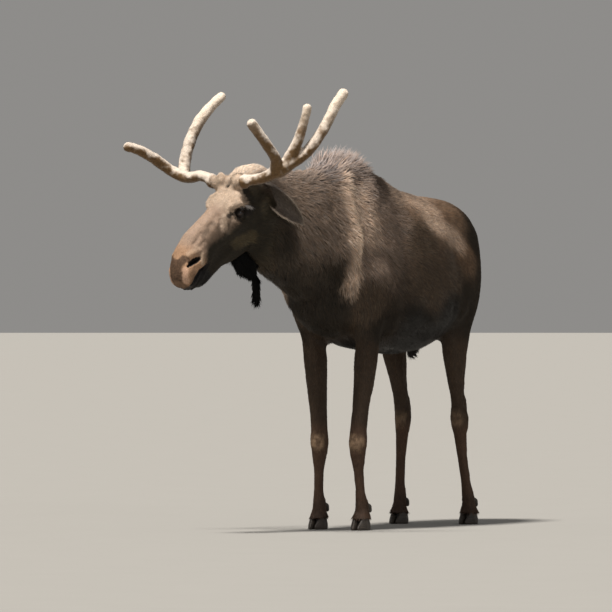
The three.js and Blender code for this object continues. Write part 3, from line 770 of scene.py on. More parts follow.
class Shader:
    """Builds a material's nodes in a few words."""

    def __init__(self, name):
        self.material = bpy.data.materials.new(name)
        self.material.use_nodes = True
        self.nodes = self.material.node_tree.nodes
        self.links = self.material.node_tree.links
        self.surface = self.nodes["Principled BSDF"]

    def add(self, kind, values=None, **settings):
        node = self.nodes.new(kind)
        for name, value in settings.items():
            setattr(node, name, value)
        for name, value in (values or {}).items():
            self.put(node.inputs[name], value)
        return node

    def put(self, socket, value):
        if isinstance(value, bpy.types.NodeSocket):
            self.links.new(value, socket)
        else:
            socket.default_value = value

    def attribute(self, name, output="Color"):
        return self.add("ShaderNodeAttribute", attribute_name=name).outputs[output]

    def noise(self, scale, detail=3.0, roughness=0.55, stretch=(1, 1, 1)):
        """Noise in the object's own metres, with scale lumps to the metre, and fewer along an axis whose
        stretch is under 1."""
        vector = self.add("ShaderNodeTexCoord").outputs["Object"]
        place = self.add("ShaderNodeMapping", {"Vector": vector, "Scale": stretch})
        values = {"Vector": place.outputs[0], "Scale": scale, "Detail": detail, "Roughness": roughness}
        return self.add("ShaderNodeTexNoise", values).outputs["Fac"]

    def range(self, value, low, high, to_low=0.0, to_high=1.0):
        values = {"Value": value, "From Min": low, "From Max": high, "To Min": to_low, "To Max": to_high}
        return self.add("ShaderNodeMapRange", values).outputs["Result"]

    def product(self, a, b):
        node = self.add("ShaderNodeMath", operation="MULTIPLY")
        self.put(node.inputs[0], a)
        self.put(node.inputs[1], b)
        return node.outputs[0]

    def between(self, share, a, b):
        """A value between two others."""
        node = self.add("ShaderNodeMix", data_type="FLOAT")
        for number, value in ((0, share), (2, a), (3, b)):
            self.put(node.inputs[number], value)
        return node.outputs[0]

    def blend(self, share, a, b, kind="MIX"):
        """A colour between two others."""
        node = self.add("ShaderNodeMix", data_type="RGBA", blend_type=kind)
        for name, value in (("Factor_Float", share), ("A_Color", a), ("B_Color", b)):
            socket = next(s for s in node.inputs if s.identifier == name)
            self.put(socket, (*value, 1) if isinstance(value, np.ndarray) else value)
        return next(s for s in node.outputs if s.identifier == "Result_Color")

    def tinted(self, colour, value):
        """The colour, lighter or darker by a value round 1."""
        grey = self.add("ShaderNodeCombineColor", {"Red": value, "Green": value, "Blue": value})
        return self.blend(1.0, colour, grey.outputs[0], "MULTIPLY")

    def bump(self, *layers):
        """A normal from layers of height, each with its distance and strength."""
        normal = None
        for height, distance, strength in layers:
            values = {"Height": height, "Distance": distance, "Strength": strength}
            if normal is not None:
                values["Normal"] = normal
            normal = self.add("ShaderNodeBump", values).outputs["Normal"]
        return normal

    def finish(self, colour, roughness, normal=None, **fixed):
        self.put(self.surface.inputs["Base Color"], colour)
        self.put(self.surface.inputs["Roughness"], roughness)
        if normal is not None:
            self.put(self.surface.inputs["Normal"], normal)
        for name, value in fixed.items():
            self.surface.inputs[name.replace("_", " ")].default_value = value
        return self.material


def skin_material():
    """Short fur that lies flat: its colour comes with the mesh, its grain runs down the legs and back over
    the body."""
    shader = Shader("skin_fur")
    along_body, down_legs = shader.noise(160, stretch=(1, 0.25, 0.6)), shader.noise(190, stretch=(1, 1, 0.16))
    hairs = shader.between(shader.attribute("legs", "Fac"), along_body, down_legs)
    pores, patches = shader.noise(420, detail=2), shader.noise(14, detail=4)
    light = shader.range(hairs, 0.25, 0.75, 0.72, 1.28)
    light = shader.product(light, shader.range(patches, 0.3, 0.7, 0.9, 1.1))
    colour = shader.tinted(shader.attribute("coat"), light)
    roughness = shader.range(shader.attribute("bare", "Fac"), 0, 1, 0.78, 0.42)
    normal = shader.bump((hairs, 0.004, 0.8), (pores, 0.0008, 0.5))
    return shader.finish(colour, roughness, normal, Specular_IOR_Level=0.3)


def coat_material(name, shine):
    shader = Shader(name)
    strands = shader.noise(900, detail=2)
    colour = shader.tinted(shader.attribute("coat"), shader.range(strands, 0.25, 0.75, 0.86, 1.14))
    return shader.finish(colour, 0.48, Specular_IOR_Level=shine)


def eye_material():
    shader = Shader("eye_wet")
    fibres = shader.noise(1400, detail=4)
    colour = shader.tinted(shader.attribute("coat"), shader.range(fibres, 0.2, 0.8, 0.7, 1.3))
    return shader.finish(colour, 0.05, Specular_IOR_Level=0.5)


def lid_material():
    shader = Shader("lid_rim")
    grain = shader.noise(900, detail=3)
    colour = shader.blend(grain, srgb(12, 9, 8), srgb(26, 21, 18))
    return shader.finish(colour, 0.4, shader.bump((grain, 0.0006, 0.5)), Specular_IOR_Level=0.3)


def velvet_material():
    shader = Shader("antler_velvet")
    mottle = shader.noise(70, detail=5, roughness=0.65)
    specks = shader.noise(380, detail=3, roughness=0.7)
    light = shader.range(mottle, 0.3, 0.7, 0.68, 1.2)
    light = shader.product(light, shader.range(specks, 0.3, 0.7, 0.76, 1.18))
    colour = shader.tinted(shader.attribute("coat"), light)
    normal = shader.bump((mottle, 0.006, 0.6), (specks, 0.0016, 0.8))
    fixed = {"Sheen_Weight": 0.35, "Sheen_Roughness": 0.4, "Specular_IOR_Level": 0.2}
    return shader.finish(colour, 0.85, normal, **fixed)


def hoof_material():
    shader = Shader("hoof_horn")
    rings = shader.noise(260, detail=3, stretch=(0.12, 0.12, 1))
    scuffs = shader.noise(45, detail=5, roughness=0.7)
    colour = shader.blend(shader.range(rings, 0.3, 0.7), srgb(36, 31, 28), srgb(72, 63, 54))
    colour = shader.tinted(colour, shader.range(scuffs, 0.3, 0.7, 0.75, 1.2))
    normal = shader.bump((rings, 0.0015, 0.7), (scuffs, 0.001, 0.5))
    return shader.finish(colour, shader.range(scuffs, 0.3, 0.7, 0.45, 0.7), normal)


def floor_material():
    shader = Shader("floor")
    grain = shader.noise(3, detail=3)
    return shader.finish(shader.tinted(srgb(146, 144, 140), shader.range(grain, 0.3, 0.7, 0.99, 1.01)), 0.8)


# ---- Colours and places ----------------------------------------------------------------------------
def paint(mesh, colours):
    values = np.ones((len(colours), 4), np.float32)
    values[:, :3] = colours
    mesh.attributes.new("coat", "FLOAT_COLOR", "POINT").data.foreach_set("color", values.ravel())


def mark(mesh, name, values):
    mesh.attributes.new(name, "FLOAT", "POINT").data.foreach_set("value", np.asarray(values, np.float32))


def show(name, mesh, material, slot, replaced=()):
    """Moves a finished mesh from the animal's frame into the CAD's and makes it a piece of the looks."""
    set_positions(mesh, positions(mesh) + ORIGIN)
    obj = add_object(name, mesh)
    mesh.materials.append(material)
    mesh.polygons.foreach_set("use_smooth", np.full(len(mesh.polygons), True))
    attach(obj, "root")
    if replaced:
        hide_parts(*replaced)


# ---- Eyes ------------------------------------------------------------------------------------------
IRIS, PUPIL, WHITE = srgb(44, 27, 17), srgb(8, 7, 9), srgb(70, 52, 42)
PUPIL_WIDE, PUPIL_HIGH = 0.0085, 0.0045  # half its size
CORNEA = 0.0012  # how far it bulges
LID_RIM = 0.0018  # radius of the lids' edge
LID_RIM_OUT = 0.0016  # how far its middle stands off the eyeball


def face_number(face):
    """A number of its own for each face of a mesh, from its vertices."""
    numbers = [vertex.index for vertex in face.verts]
    return min(numbers) * 10_000 + max(numbers)


def make_eye(side, material):
    """An eyeball with a bulging cornea and the wide level pupil of a deer."""
    centre, out, *_ = eye_frame(side)
    bm = bmesh.new()
    bmesh.ops.create_uvsphere(bm, u_segments=72, v_segments=48, radius=EYE_RADIUS)
    bm.verts.index_update()
    bm.faces.sort(key=face_number)  # the sphere's faces come in another order each run
    mesh = bpy.data.meshes.new(f"eyeball_{side}")
    bm.to_mesh(mesh)
    bm.free()
    set_positions(mesh, positions(mesh) + centre)
    points = positions(mesh)
    facing = unit(points - centre)
    off_axis = np.arccos(np.clip(facing @ out, -1, 1))
    points = points + facing * (CORNEA * ramp(off_axis, 0.75, 0.35))[:, None]
    set_positions(mesh, points)
    level = unit(HEADING - out * (HEADING @ out))
    wide, high = (points - centre) @ level, (points - centre) @ np.cross(out, level)
    pupil = ramp(np.hypot(wide / PUPIL_WIDE, high / PUPIL_HIGH), 1.1, 0.9) * (facing @ out > 0)
    paint(mesh, mix(mix(WHITE, IRIS, ramp(off_axis, 0.80, 0.70)), PUPIL, pupil))
    show(f"eyeball_{side}", mesh, material, "eye", [f"eye_{side}"])


def ring_tube(points, radius, sides):
    """A tube along a closed line, as points and four-sided faces."""
    count = len(points)
    tangent = unit(np.roll(points, -1, 0) - np.roll(points, 1, 0))
    first = unit(np.cross(tangent, unit(points - points.mean(0) + 1e-6)))
    second = np.cross(tangent, first)
    angle = np.linspace(0, 2 * math.pi, sides, endpoint=False)
    ring = np.cos(angle)[None, :, None] * first[:, None] + np.sin(angle)[None, :, None] * second[:, None]
    shell = points[:, None] + ring * radius
    faces = []
    for i in range(count):
        onward = ((i + 1) % count - i) * sides
        for j in range(sides):
            a, b = i * sides + j, i * sides + (j + 1) % sides
            faces.append((a, b, b + onward, a + onward))
    return shell.reshape(-1, 3), faces


def make_lids(side, material):
    """The dark wet edge of the lids, round the eyeball."""
    centre = EYES[side]
    edge = centre + unit(lid_curve(side) - centre) * (EYE_RADIUS + LID_RIM_OUT)
    name = f"lid_rim_{side}"
    show(name, mesh_of(name, *ring_tube(edge, LID_RIM, 12)), material, "face_coat")


# ---- Antlers ---------------------------------------------------------------------------------------
# painted light and shade: the velvet's colour where it faces up to the light, and where it faces down into
# shade
VELVET_LIT_TOP, VELVET_SHADED_UNDER, VELVET_TIP = srgb(214, 200, 186), srgb(108, 83, 54), srgb(232, 216, 198)
VELVET_SMOOTHING = 0.013


def make_antler(side):
    """An antler's mesh, its colours, and the nodes that it stands for."""
    nodes = [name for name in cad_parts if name.startswith(f"antler_{side}_")]
    mesh = remeshed(f"antler_{side}", joined([cad_solid(node) for node in nodes]), HORN_VOXEL)
    reach = np.full(len(mesh.vertices), VELVET_SMOOTHING)
    points = Net(mesh).smooth(positions(mesh), *spread(reach, VELVET_SMOOTHING, HORN_VOXEL))
    set_positions(mesh, points)
    lumps = 0.0028 * noise(points, 0.040, 11, 2) + 0.0012 * noise(points, 0.012, 12, 2) - 0.001
    points = points + vertex_normals(mesh) * lumps[:, None]
    set_positions(mesh, points)
    # painted light and shade: velvet that faces up is paler, velvet that faces down darker
    facing = ramp(vertex_normals(mesh)[:, 2] + 0.9 * noise(points, 0.035, 13, 3), -0.30, 0.45)
    colours = mix(mix(VELVET_SHADED_UNDER, VELVET_LIT_TOP, facing), VELVET_TIP, 0.7 * ramp(points[:, 2], 1.98, 2.2))
    paint(mesh, colours)
    return mesh, colours, nodes


# ---- Hooves ----------------------------------------------------------------------------------------
HOOF_ROOT, CLAW_ROOT = 0.002, 0.012  # how far the horn reaches into the foot
HOOF_TAPER = 0.20  # how much narrower a toe is at its top
TOE_POINT = 0.42  # how far its front is drawn towards the cleft
CLEFT = 0.002  # half the gap between the toes' points
RING_HEIGHT, RING_SPACING = 0.0003, 0.0085  # the rings that the horn grows in


def make_toe(mesh, points, cleft_x):
    """The horn of a toe: ringed, flat underneath, narrower at its top, and pointed towards the cleft."""
    rings = RING_HEIGHT * np.sin(points[:, 2] * 2 * math.pi / RING_SPACING + 2.5 * noise(points, 0.03, 21))
    points = points + vertex_normals(mesh) * (rings * band(points[:, 2], 0.008, 0.018, 0.05, 0.06))[:, None]
    points[:, 2] = np.maximum(points[:, 2], 0.0)
    middle = (points.min(0) + points.max(0)) / 2
    top = points[:, 2].max()
    points[:, :2] += (middle - points)[:, :2] * (HOOF_TAPER * ramp(points[:, 2], 0.020, top))[:, None]
    points[:, 2] += HOOF_ROOT * ramp(points[:, 2], top - 0.010, top - 0.002)
    cleft_x = cleft_x + np.sign(middle[0] - cleft_x) * CLEFT
    toe = ramp(points[:, 1], middle[1] - 0.005, points[:, 1].min())
    points[:, 0] += (cleft_x - points[:, 0]) * TOE_POINT * toe
    return points


def make_dewclaw(points, foot):
    """The horn of a dewclaw, with its root drawn into the foot."""
    centre = points.mean(0)
    inward = unit(vec(*leg_middle(foot, centre[2]), centre[2]) - centre)
    return points + inward * (CLAW_ROOT * ramp((points - centre) @ inward, -0.004, 0.010))[:, None]


def make_feet(material):
    for foot in FEET:
        for kind in ("hoof", "dewclaw"):
            for end in ("inner", "outer"):
                node = f"{kind}_{foot}_{end}"
                mesh = remeshed(node, cad_solid(node), HOOF_VOXEL)
                points = Net(mesh).smooth(positions(mesh), 0.5, 14)
                if kind == "hoof":
                    points = make_toe(mesh, points, LEG_LINES[foot][0, 0])
                else:
                    points = make_dewclaw(points, foot)
                set_positions(mesh, points)
                show(f"{node}_horn", mesh, material, "hoof_horn", [node])


# ---- Studio ----------------------------------------------------------------------------------------
CAMERA_AZIMUTH = math.radians(27)
CAMERA_DISTANCE = 40.0
CAMERA_HEIGHT = 1.3
CAMERA_TARGET = vec(-0.36, 0.317, 1.15)
CAMERA_WIDTH = 612 / 192  # metres that the picture spans at the target
SENSOR = 36  # millimetres
FLOOR_RADIUS = 140
SKY_COLOUR, SKY_STRENGTH = (1.0, 0.975, 0.94, 1), 0.27

# Name, where the light comes from, strength, how wide it is in the sky in degrees, and colour.
SUNS = (
    ("key", (-0.03, -0.42, 0.907), 5.8, 9, (1.0, 0.955, 0.89)),
    ("fill", (0.80, -0.55, 0.35), 0.20, 14, (0.96, 0.97, 1.0)),
)


def make_camera():
    tilt = math.asin((CAMERA_HEIGHT - CAMERA_TARGET[2]) / CAMERA_DISTANCE)
    level = vec(math.sin(CAMERA_AZIMUTH), -math.cos(CAMERA_AZIMUTH), 0)
    back = level * math.cos(tilt) + UP * math.sin(tilt)
    data = bpy.data.cameras.new("camera")
    data.sensor_width = SENSOR
    data.lens = SENSOR * CAMERA_DISTANCE / CAMERA_WIDTH
    data.clip_start, data.clip_end = 1, 400
    camera = add_object("camera", data)
    camera.location = CAMERA_TARGET + ORIGIN + back * CAMERA_DISTANCE
    camera.rotation_euler = Vector(back).to_track_quat("Z", "Y").to_euler()
    bpy.context.scene.camera = camera


def make_studio():
    bpy.ops.mesh.primitive_circle_add(vertices=96, radius=FLOOR_RADIUS, fill_type="NGON")
    floor = bpy.context.object
    floor.name = "studio_floor"
    floor.data.materials.append(floor_material())
    floor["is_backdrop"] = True

    world = bpy.data.worlds.new("studio")
    bpy.context.scene.world = world
    world.use_nodes = True
    background = world.node_tree.nodes["Background"]
    background.inputs["Color"].default_value = SKY_COLOUR
    background.inputs["Strength"].default_value = SKY_STRENGTH

    for name, towards, strength, angle, colour in SUNS:
        data = bpy.data.lights.new(name, "SUN")
        data.energy, data.angle, data.color = strength, math.radians(angle), colour
        light = add_object(name, data)
        light.rotation_euler = Vector(towards).to_track_quat("Z", "Y").to_euler()


# ---- Coat: how the hair lies -----------------------------------------------------------------------
COLOURS = {
    "mane": srgb(108, 99, 95),
    "stripe": srgb(56, 46, 38),
    "hump": srgb(118, 104, 94),
    "back": srgb(116, 96, 80),
    "shoulder": srgb(112, 97, 86),
    # side, belly, thigh, throat and chest: the coat's own dark brown, made darker still as painted shade of
    # the lower body
    "side": srgb(80, 67, 55),
    "belly": srgb(22, 18, 14),
    # painted sunlight: the colour of the lit patches of the coat
    "painted_sunlight": srgb(192, 168, 148),
    "rump": srgb(92, 74, 59),
    "thigh": srgb(42, 35, 27),
    "neck": srgb(108, 94, 83),
    "throat": srgb(46, 39, 31),
    "chest": srgb(42, 36, 29),
    "leg": srgb(71, 57, 45),
    "shank": srgb(90, 68, 53),
    "knee": srgb(176, 147, 119),
    "pastern": srgb(80, 62, 50),
    "poll": srgb(222, 200, 180),
    "forehead": srgb(206, 182, 160),
    "bridge": srgb(178, 152, 132),
    "muzzle": srgb(190, 151, 119),
    # the cheek's own dark brown, made darker still as painted shade
    "cheek": srgb(46, 40, 30),
    # painted reflection: the jaw's hair tinted with green light reflected from the ground, muted
    "jaw": srgb(86, 75, 54),
    # the lower lip and chin, dark, made darker still as painted shade
    "lip": srgb(17, 14, 12),
    "tail": srgb(44, 36, 30),
    # dark eyelid skin, also used as painted shadow under the brow
    "dark_eyelid_and_brow_shadow": srgb(34, 28, 24),
    "muzzle_front": srgb(57, 40, 29),
    "lip_bulge": srgb(222, 182, 154),
    "nostril_rim": srgb(196, 170, 146),
    # the pouch under the eye, and painted shade on the side of the face
    "pouch_and_painted_shade": srgb(112, 95, 80),
    "bare": srgb(30, 24, 21),
    # painted shade deep in the nostrils and mouth
    "inside": srgb(12, 9, 8),
    "ear_back": srgb(74, 66, 60),
    "ear_inside": srgb(104, 94, 86),
    "ear_rim": srgb(160, 146, 132),
    "bell": srgb(8, 8, 8),
    "lashes": srgb(186, 180, 178),
}

# Places on the body, the way the hair lies there, its length in millimetres, how many degrees it stands off
# the skin, its colour, and how much lighter its tips are. Places on the left side stand for both sides.
BODY_GUIDES = (
    # crest of the neck, mane and the dark stripe behind it
    ((0.00, -0.62, 1.86), (0, 1.0, 0.1), 55, 22, "hump", 1.85),
    ((0.00, -0.42, 1.87), (0, 1.0, 0.2), 66, 26, "hump", 2.02),
    ((0.00, -0.27, 1.88), (0, 1.0, 0.3), 84, 36, "mane", 2.4),
    ((0.00, -0.16, 1.88), (0, 1.0, 0.4), 132, 66, "mane", 2.9),
    ((0.00, -0.05, 1.88), (0, 1.0, 0.4), 138, 70, "mane", 3.0),
    ((0.00, 0.06, 1.88), (0, 1.0, 0.3), 124, 62, "mane", 2.5),
    ((0.00, 0.15, 1.87), (0, 1.0, 0.1), 86, 40, "stripe", 1.5),
    ((0.07, 0.19, 1.84), (0.3, 1.0, -0.2), 60, 22, "stripe", 1.2),
    ((0.00, 0.25, 1.85), (0, 1.0, 0.0), 58, 22, "stripe", 1.1),
    ((0.00, 0.40, 1.82), (0, 1.0, 0.0), 46, 18, "stripe", 1.2),
    ((0.00, 0.56, 1.77), (0, 1.0, 0.0), 42, 16, "stripe", 1.2),
    ((0.10, 0.40, 1.79), (0.3, 1.0, -0.1), 44, 17, "stripe", 1.2),
    ((0.00, 0.80, 1.73), (0, 1.0, 0.0), 30, 12, "back", 1.51),
    ((0.00, 1.05, 1.71), (0, 1.0, -0.1), 26, 11, "rump", 1.51),
    ((0.00, 1.22, 1.60), (0, 0.6, -0.8), 26, 11, "rump", 1.34),
    # shoulder and side of the neck
    ((0.12, -0.05, 1.80), (0.3, 0.9, -0.3), 66, 24, "hump", 2.19),
    ((0.20, -0.20, 1.70), (0.2, 0.80, -0.50), 60, 20, "shoulder", 1.85),
    ((0.24, 0.02, 1.62), (0.1, 0.65, -0.75), 54, 18, "shoulder", 1.85),
    ((0.25, 0.22, 1.64), (0.2, 0.75, -0.60), 50, 17, "shoulder", 1.68),
    ((0.26, -0.10, 1.40), (0, 0.45, -0.90), 50, 16, "shoulder", 1.68),
    ((0.26, -0.12, 1.18), (0, 0.35, -0.95), 36, 12, "side", 1.3),
    ((0.25, 0.02, 1.02), (0, 0.20, -1.0), 28, 11, "thigh", 1.2),
    ((0.16, -0.34, 1.74), (0.2, 0.85, -0.50), 66, 22, "neck", 1.85),
    ((0.18, -0.36, 1.52), (0.1, 0.60, -0.80), 66, 20, "neck", 1.68),
    ((0.14, -0.38, 1.32), (0, 0.40, -0.90), 62, 18, "throat", 1.3),
    ((0.10, -0.60, 1.76), (0.2, 0.90, -0.40), 62, 20, "neck", 1.85),
    ((0.09, -0.60, 1.56), (0.1, 0.65, -0.80), 66, 20, "neck", 1.51),
    ((-0.20, -0.62, 1.70), (-0.2, 0.80, -0.55), 62, 20, "neck", 1.68),
    ((-0.17, -0.62, 1.48), (-0.1, 0.60, -0.80), 66, 20, "throat", 1.3),
    ((0.04, -0.76, 1.72), (0.1, 0.90, -0.45), 50, 18, "neck", 1.68),
    ((0.02, -0.76, 1.52), (0.1, 0.60, -0.80), 56, 20, "throat", 1.3),
    ((-0.05, -0.62, 1.33), (0, 0.45, -0.90), 72, 26, "throat", 1.2),
    ((-0.02, -0.44, 1.22), (0, 0.40, -0.90), 74, 28, "throat", 1.2),
    # breast and belly
    ((0.00, -0.38, 1.26), (0, 0.10, -1.0), 62, 20, "chest", 1.2),
    ((0.12, -0.33, 1.24), (0, 0.20, -1.0), 54, 17, "chest", 1.2),
    ((0.00, -0.25, 1.05), (0, 0.70, -0.70), 54, 22, "chest", 1.2),
    ((0.00, 0.10, 0.95), (0, 1.0, -0.20), 46, 18, "belly", 1.2),
    ((0.00, 0.50, 0.91), (0, 1.0, -0.10), 44, 18, "belly", 1.2),
    ((0.00, 0.80, 0.95), (0, 0.8, -0.40), 40, 16, "belly", 1.2),
    ((0.22, 0.45, 0.96), (-0.2, 0.85, -0.45), 44, 16, "belly", 1.2),
    # barrel, loin and flank
    ((0.20, 0.45, 1.72), (0.4, 0.85, -0.35), 29, 12, "back", 1.68),
    ((0.31, 0.42, 1.50), (0.1, 0.75, -0.60), 30, 12, "side", 1.4),
    ((0.33, 0.42, 1.25), (0, 0.70, -0.70), 30, 12, "side", 1.3),
    ((0.29, 0.35, 1.04), (-0.1, 0.75, -0.60), 30, 12, "belly", 1.2),
    ((0.30, 0.68, 1.58), (0.3, 0.80, -0.50), 26, 11, "back", 1.68),
    ((0.34, 0.66, 1.35), (0, 0.75, -0.65), 27, 11, "side", 1.3),
    ((0.32, 0.66, 1.10), (-0.1, 0.75, -0.60), 29, 12, "belly", 1.2),
    # hip, rump and thigh
    ((0.25, 0.90, 1.64), (0.3, 0.70, -0.60), 23, 10, "rump", 1.68),
    ((0.31, 0.90, 1.42), (0.1, 0.50, -0.85), 23, 10, "rump", 1.51),
    ((0.31, 0.86, 1.18), (0, 0.30, -0.95), 22, 10, "thigh", 1.2),
    ((0.24, 1.10, 1.56), (0.2, 0.60, -0.75), 22, 10, "thigh", 1.3),
    ((0.28, 1.00, 1.48), (0.1, 0.50, -0.85), 22, 10, "thigh", 1.3),
    ((0.27, 1.06, 1.32), (0, 0.30, -0.95), 22, 10, "thigh", 1.2),
    ((0.24, 1.02, 1.08), (0, 0.15, -1.0), 19, 9, "thigh", 1.2),
    ((0.12, 1.22, 1.40), (0, 0.15, -1.0), 23, 11, "thigh", 1.1),
    ((0.14, 1.16, 1.14), (0, 0.0, -1.0), 22, 11, "thigh", 1.1),
    ((0.08, 1.00, 1.02), (-0.1, 0.2, -1.0), 20, 11, "belly", 1.1),
    # tail
    ((0.00, 1.29, 1.54), (0, 0.2, -1.0), 46, 12, "tail", 1.1),
    ((0.00, 1.31, 1.46), (0, 0.0, -1.0), 52, 12, "tail", 1.1),
)

# The same down each leg: height, length, lift, colour, and how much lighter the tips are.
LEG_GUIDES = (
    (0.90, 21, 10, "leg", 1.15),
    (0.75, 17, 10, "leg", 1.15),
    (0.60, 14, 9, "leg", 1.15),
    (0.47, 12, 9, "shank", 1.1),
    (0.20, 10, 8, "shank", 1.1),
    (0.12, 16, 12, "pastern", 1.1),
    (0.07, 24, 18, "pastern", 1.1),
)

# The same on the head, in its coordinates: down the face, off the face line, aside.
HEAD_GUIDES = (
    ((-0.03, -0.045, 0.05), (-1.0, -0.3, 0.2), 24, 18, "poll", 1.1),
    ((-0.08, -0.05, 0.03), (-1.0, -0.3, 0.0), 32, 18, "poll", 1.1),
    ((-0.05, -0.02, 0.00), (-1.0, -0.2, 0.0), 26, 18, "poll", 1.1),
    ((0.01, 0.00, 0.03), (-0.9, 0.0, 0.3), 18, 16, "poll", 1.1),
    ((0.10, -0.01, 0.04), (0.7, 0.0, 0.4), 13, 12, "forehead", 1.05),
    ((0.20, -0.02, 0.05), (0.9, 0.0, 0.35), 11, 10, "forehead", 1.05),
    ((0.32, -0.01, 0.03), (1.0, 0.0, 0.3), 9, 9, "bridge", 1.05),
    ((0.48, 0.01, 0.02), (1.0, 0.0, 0.3), 7, 8, "bridge", 1.05),
    ((0.62, -0.01, 0.03), (0.9, -0.2, 0.3), 6, 8, "muzzle", 1.05),
    ((0.69, -0.07, 0.02), (0.5, -0.9, 0.2), 5, 8, "muzzle", 1.05),
    ((0.66, -0.13, 0.05), (0.2, -1.0, 0.2), 6, 9, "lip", 1.05),
    ((0.60, -0.09, 0.08), (0.3, -1.0, 0.0), 6, 8, "muzzle", 1.05),
    ((0.50, -0.05, 0.07), (0.4, -0.9, 0.0), 8, 8, "bridge", 1.05),
    ((0.48, -0.12, 0.07), (0.1, -1.0, 0.0), 10, 9, "cheek", 1.1),
    ((0.35, -0.06, 0.08), (0.3, -0.9, 0.0), 9, 9, "bridge", 1.05),
    ((0.33, -0.15, 0.09), (-0.1, -1.0, 0.0), 13, 11, "cheek", 1.15),
    ((0.24, -0.20, 0.10), (-0.3, -0.95, 0.0), 17, 12, "cheek", 1.2),
    ((0.12, -0.12, 0.11), (-0.9, -0.5, 0.0), 20, 14, "cheek", 1.3),
    ((0.08, -0.24, 0.10), (-0.8, -0.6, 0.0), 28, 16, "cheek", 1.3),
    ((0.24, -0.28, 0.05), (-0.7, -0.6, 0.0), 28, 18, "jaw", 1.2),
    ((0.40, -0.23, 0.03), (-0.8, -0.4, 0.0), 20, 15, "jaw", 1.15),
    ((0.46, -0.19, 0.05), (-0.4, -0.9, 0.0), 14, 12, "jaw", 1.1),
    ((0.58, -0.21, 0.02), (-0.3, -1.0, 0.0), 14, 14, "throat", 1.1),
    ((0.64, -0.19, 0.02), (0.2, -1.0, 0.0), 10, 14, "throat", 1.1),
    ((0.22, -0.06, 0.095), (0.2, -0.4, 0.6), 9, 10, "forehead", 1.05),
    ((0.00, -0.10, 0.10), (-0.9, -0.3, 0.0), 26, 16, "neck", 1.3),
)


def on_both_sides(rows):
    """The guides, with those on the left side repeated on the right."""
    for place, lie, *rest in rows:
        yield (vec(*place), vec(*lie), *rest)
        if place[0] > 0:
            yield (vec(-place[0], *place[1:]), vec(-lie[0], *lie[1:]), *rest)


def all_guides():
    yield from on_both_sides(BODY_GUIDES)
    for foot in FEET:
        for height, *rest in LEG_GUIDES:
            yield (vec(*leg_middle(foot, height), height), vec(0, 0.08, -1), *rest)
    for (down, off, aside), lie, *rest in HEAD_GUIDES:
        for sign in (1, -1) if aside else (1,):
            way = ALONG * lie[0] + OVER * lie[1] + LEFT * lie[2] * sign
            yield (on_head(down, off, aside * sign), way, *rest)


def combed(points, blunt=0.0012, fall=2.5, batch=8192):
    """The guides' values at each point. A guide's weight falls with its distance, but stays even near it."""
    guides = list(all_guides())
    places = np.array([g[0] for g in guides])
    rows = np.array([[*unit(g[1]), g[2] / 1000, math.radians(g[3]), *COLOURS[g[4]], g[5]] for g in guides])
    values = np.empty((len(points), rows.shape[1]))
    for start in range(0, len(points), batch):
        part = points[start : start + batch]
        square = ((part[:, None] - places[None]) ** 2).sum(-1)
        weight = 1 / (square + blunt) ** fall
        values[start : start + batch] = weight @ rows / weight.sum(1)[:, None]
    return values


LIE, LENGTH, LIFT, COLOUR, TIPS = slice(0, 3), 3, 4, slice(5, 8), 8  # the columns of combed values

# The edge between the pale face and the dark cheek and lower lip: down the face, and off the face line.
FACE_EDGE = vec(
    (-0.10, -0.020), (0.00, -0.032), (0.12, -0.020), (0.139, -0.060), (0.150, -0.095), (0.172, -0.127),
    (0.262, -0.130), (0.288, -0.137), (0.336, -0.120), (0.385, -0.100), (0.441, -0.082), (0.485, -0.070),
    (0.521, -0.088), (0.565, -0.112), (0.615, -0.100), (0.660, -0.107), (0.700, -0.122),
)

# The dark patch on the front of the muzzle: how far aside it reaches, and begins, by how far down the face.
FRONT_OUTER = ((0.60, 0.070), (0.625, 0.066), (0.645, 0.047), (0.70, 0.047), (0.73, 0.038))
FRONT_INNER = ((0.60, 0.036), (0.625, 0.020), (0.640, -0.020))

# Patches of colour on the head: from one place to another in its coordinates, how far they reach, their
# colour, and how strong they are.
FACE_MARKS = (
    ((0.300, -0.058, 0.068), (0.346, -0.084, 0.070), 0.023, "forehead", 0.75),
    # painted shadow along the hollow under the brow
    ((0.282, -0.066, 0.080), (0.200, -0.100, 0.104), 0.013, "dark_eyelid_and_brow_shadow", 0.9),
    # painted shade in the furrow beside the nose bone and in the pits between the cheek's lumps
    ((0.360, -0.026, 0.056), (0.460, -0.014, 0.058), 0.012, "cheek", 0.45),
    ((0.330, -0.060, 0.062), (0.350, -0.078, 0.064), 0.008, "cheek", 0.6),
    # the dark skin round the eye, darkened further as painted shade
    ((0.236, -0.104, 0.096), (0.190, -0.130, 0.108), 0.030, "dark_eyelid_and_brow_shadow", 1.0),
    ((0.270, -0.126, 0.090), (0.296, -0.112, 0.084), 0.013, "pouch_and_painted_shade", 0.9),
    # painted reflection of green light on the jaw
    ((0.350, -0.205, 0.076), (0.268, -0.246, 0.082), 0.036, "jaw", 0.75),
    ((0.545, -0.060, 0.072), (0.578, -0.086, 0.074), 0.015, "nostril_rim", 0.9),
    ((0.530, -0.020, 0.068), (0.590, 0.004, 0.060), 0.016, "nostril_rim", 0.5),
    ((0.668, -0.034, 0.060), (0.706, -0.074, 0.054), 0.019, "lip_bulge", 0.9),
)


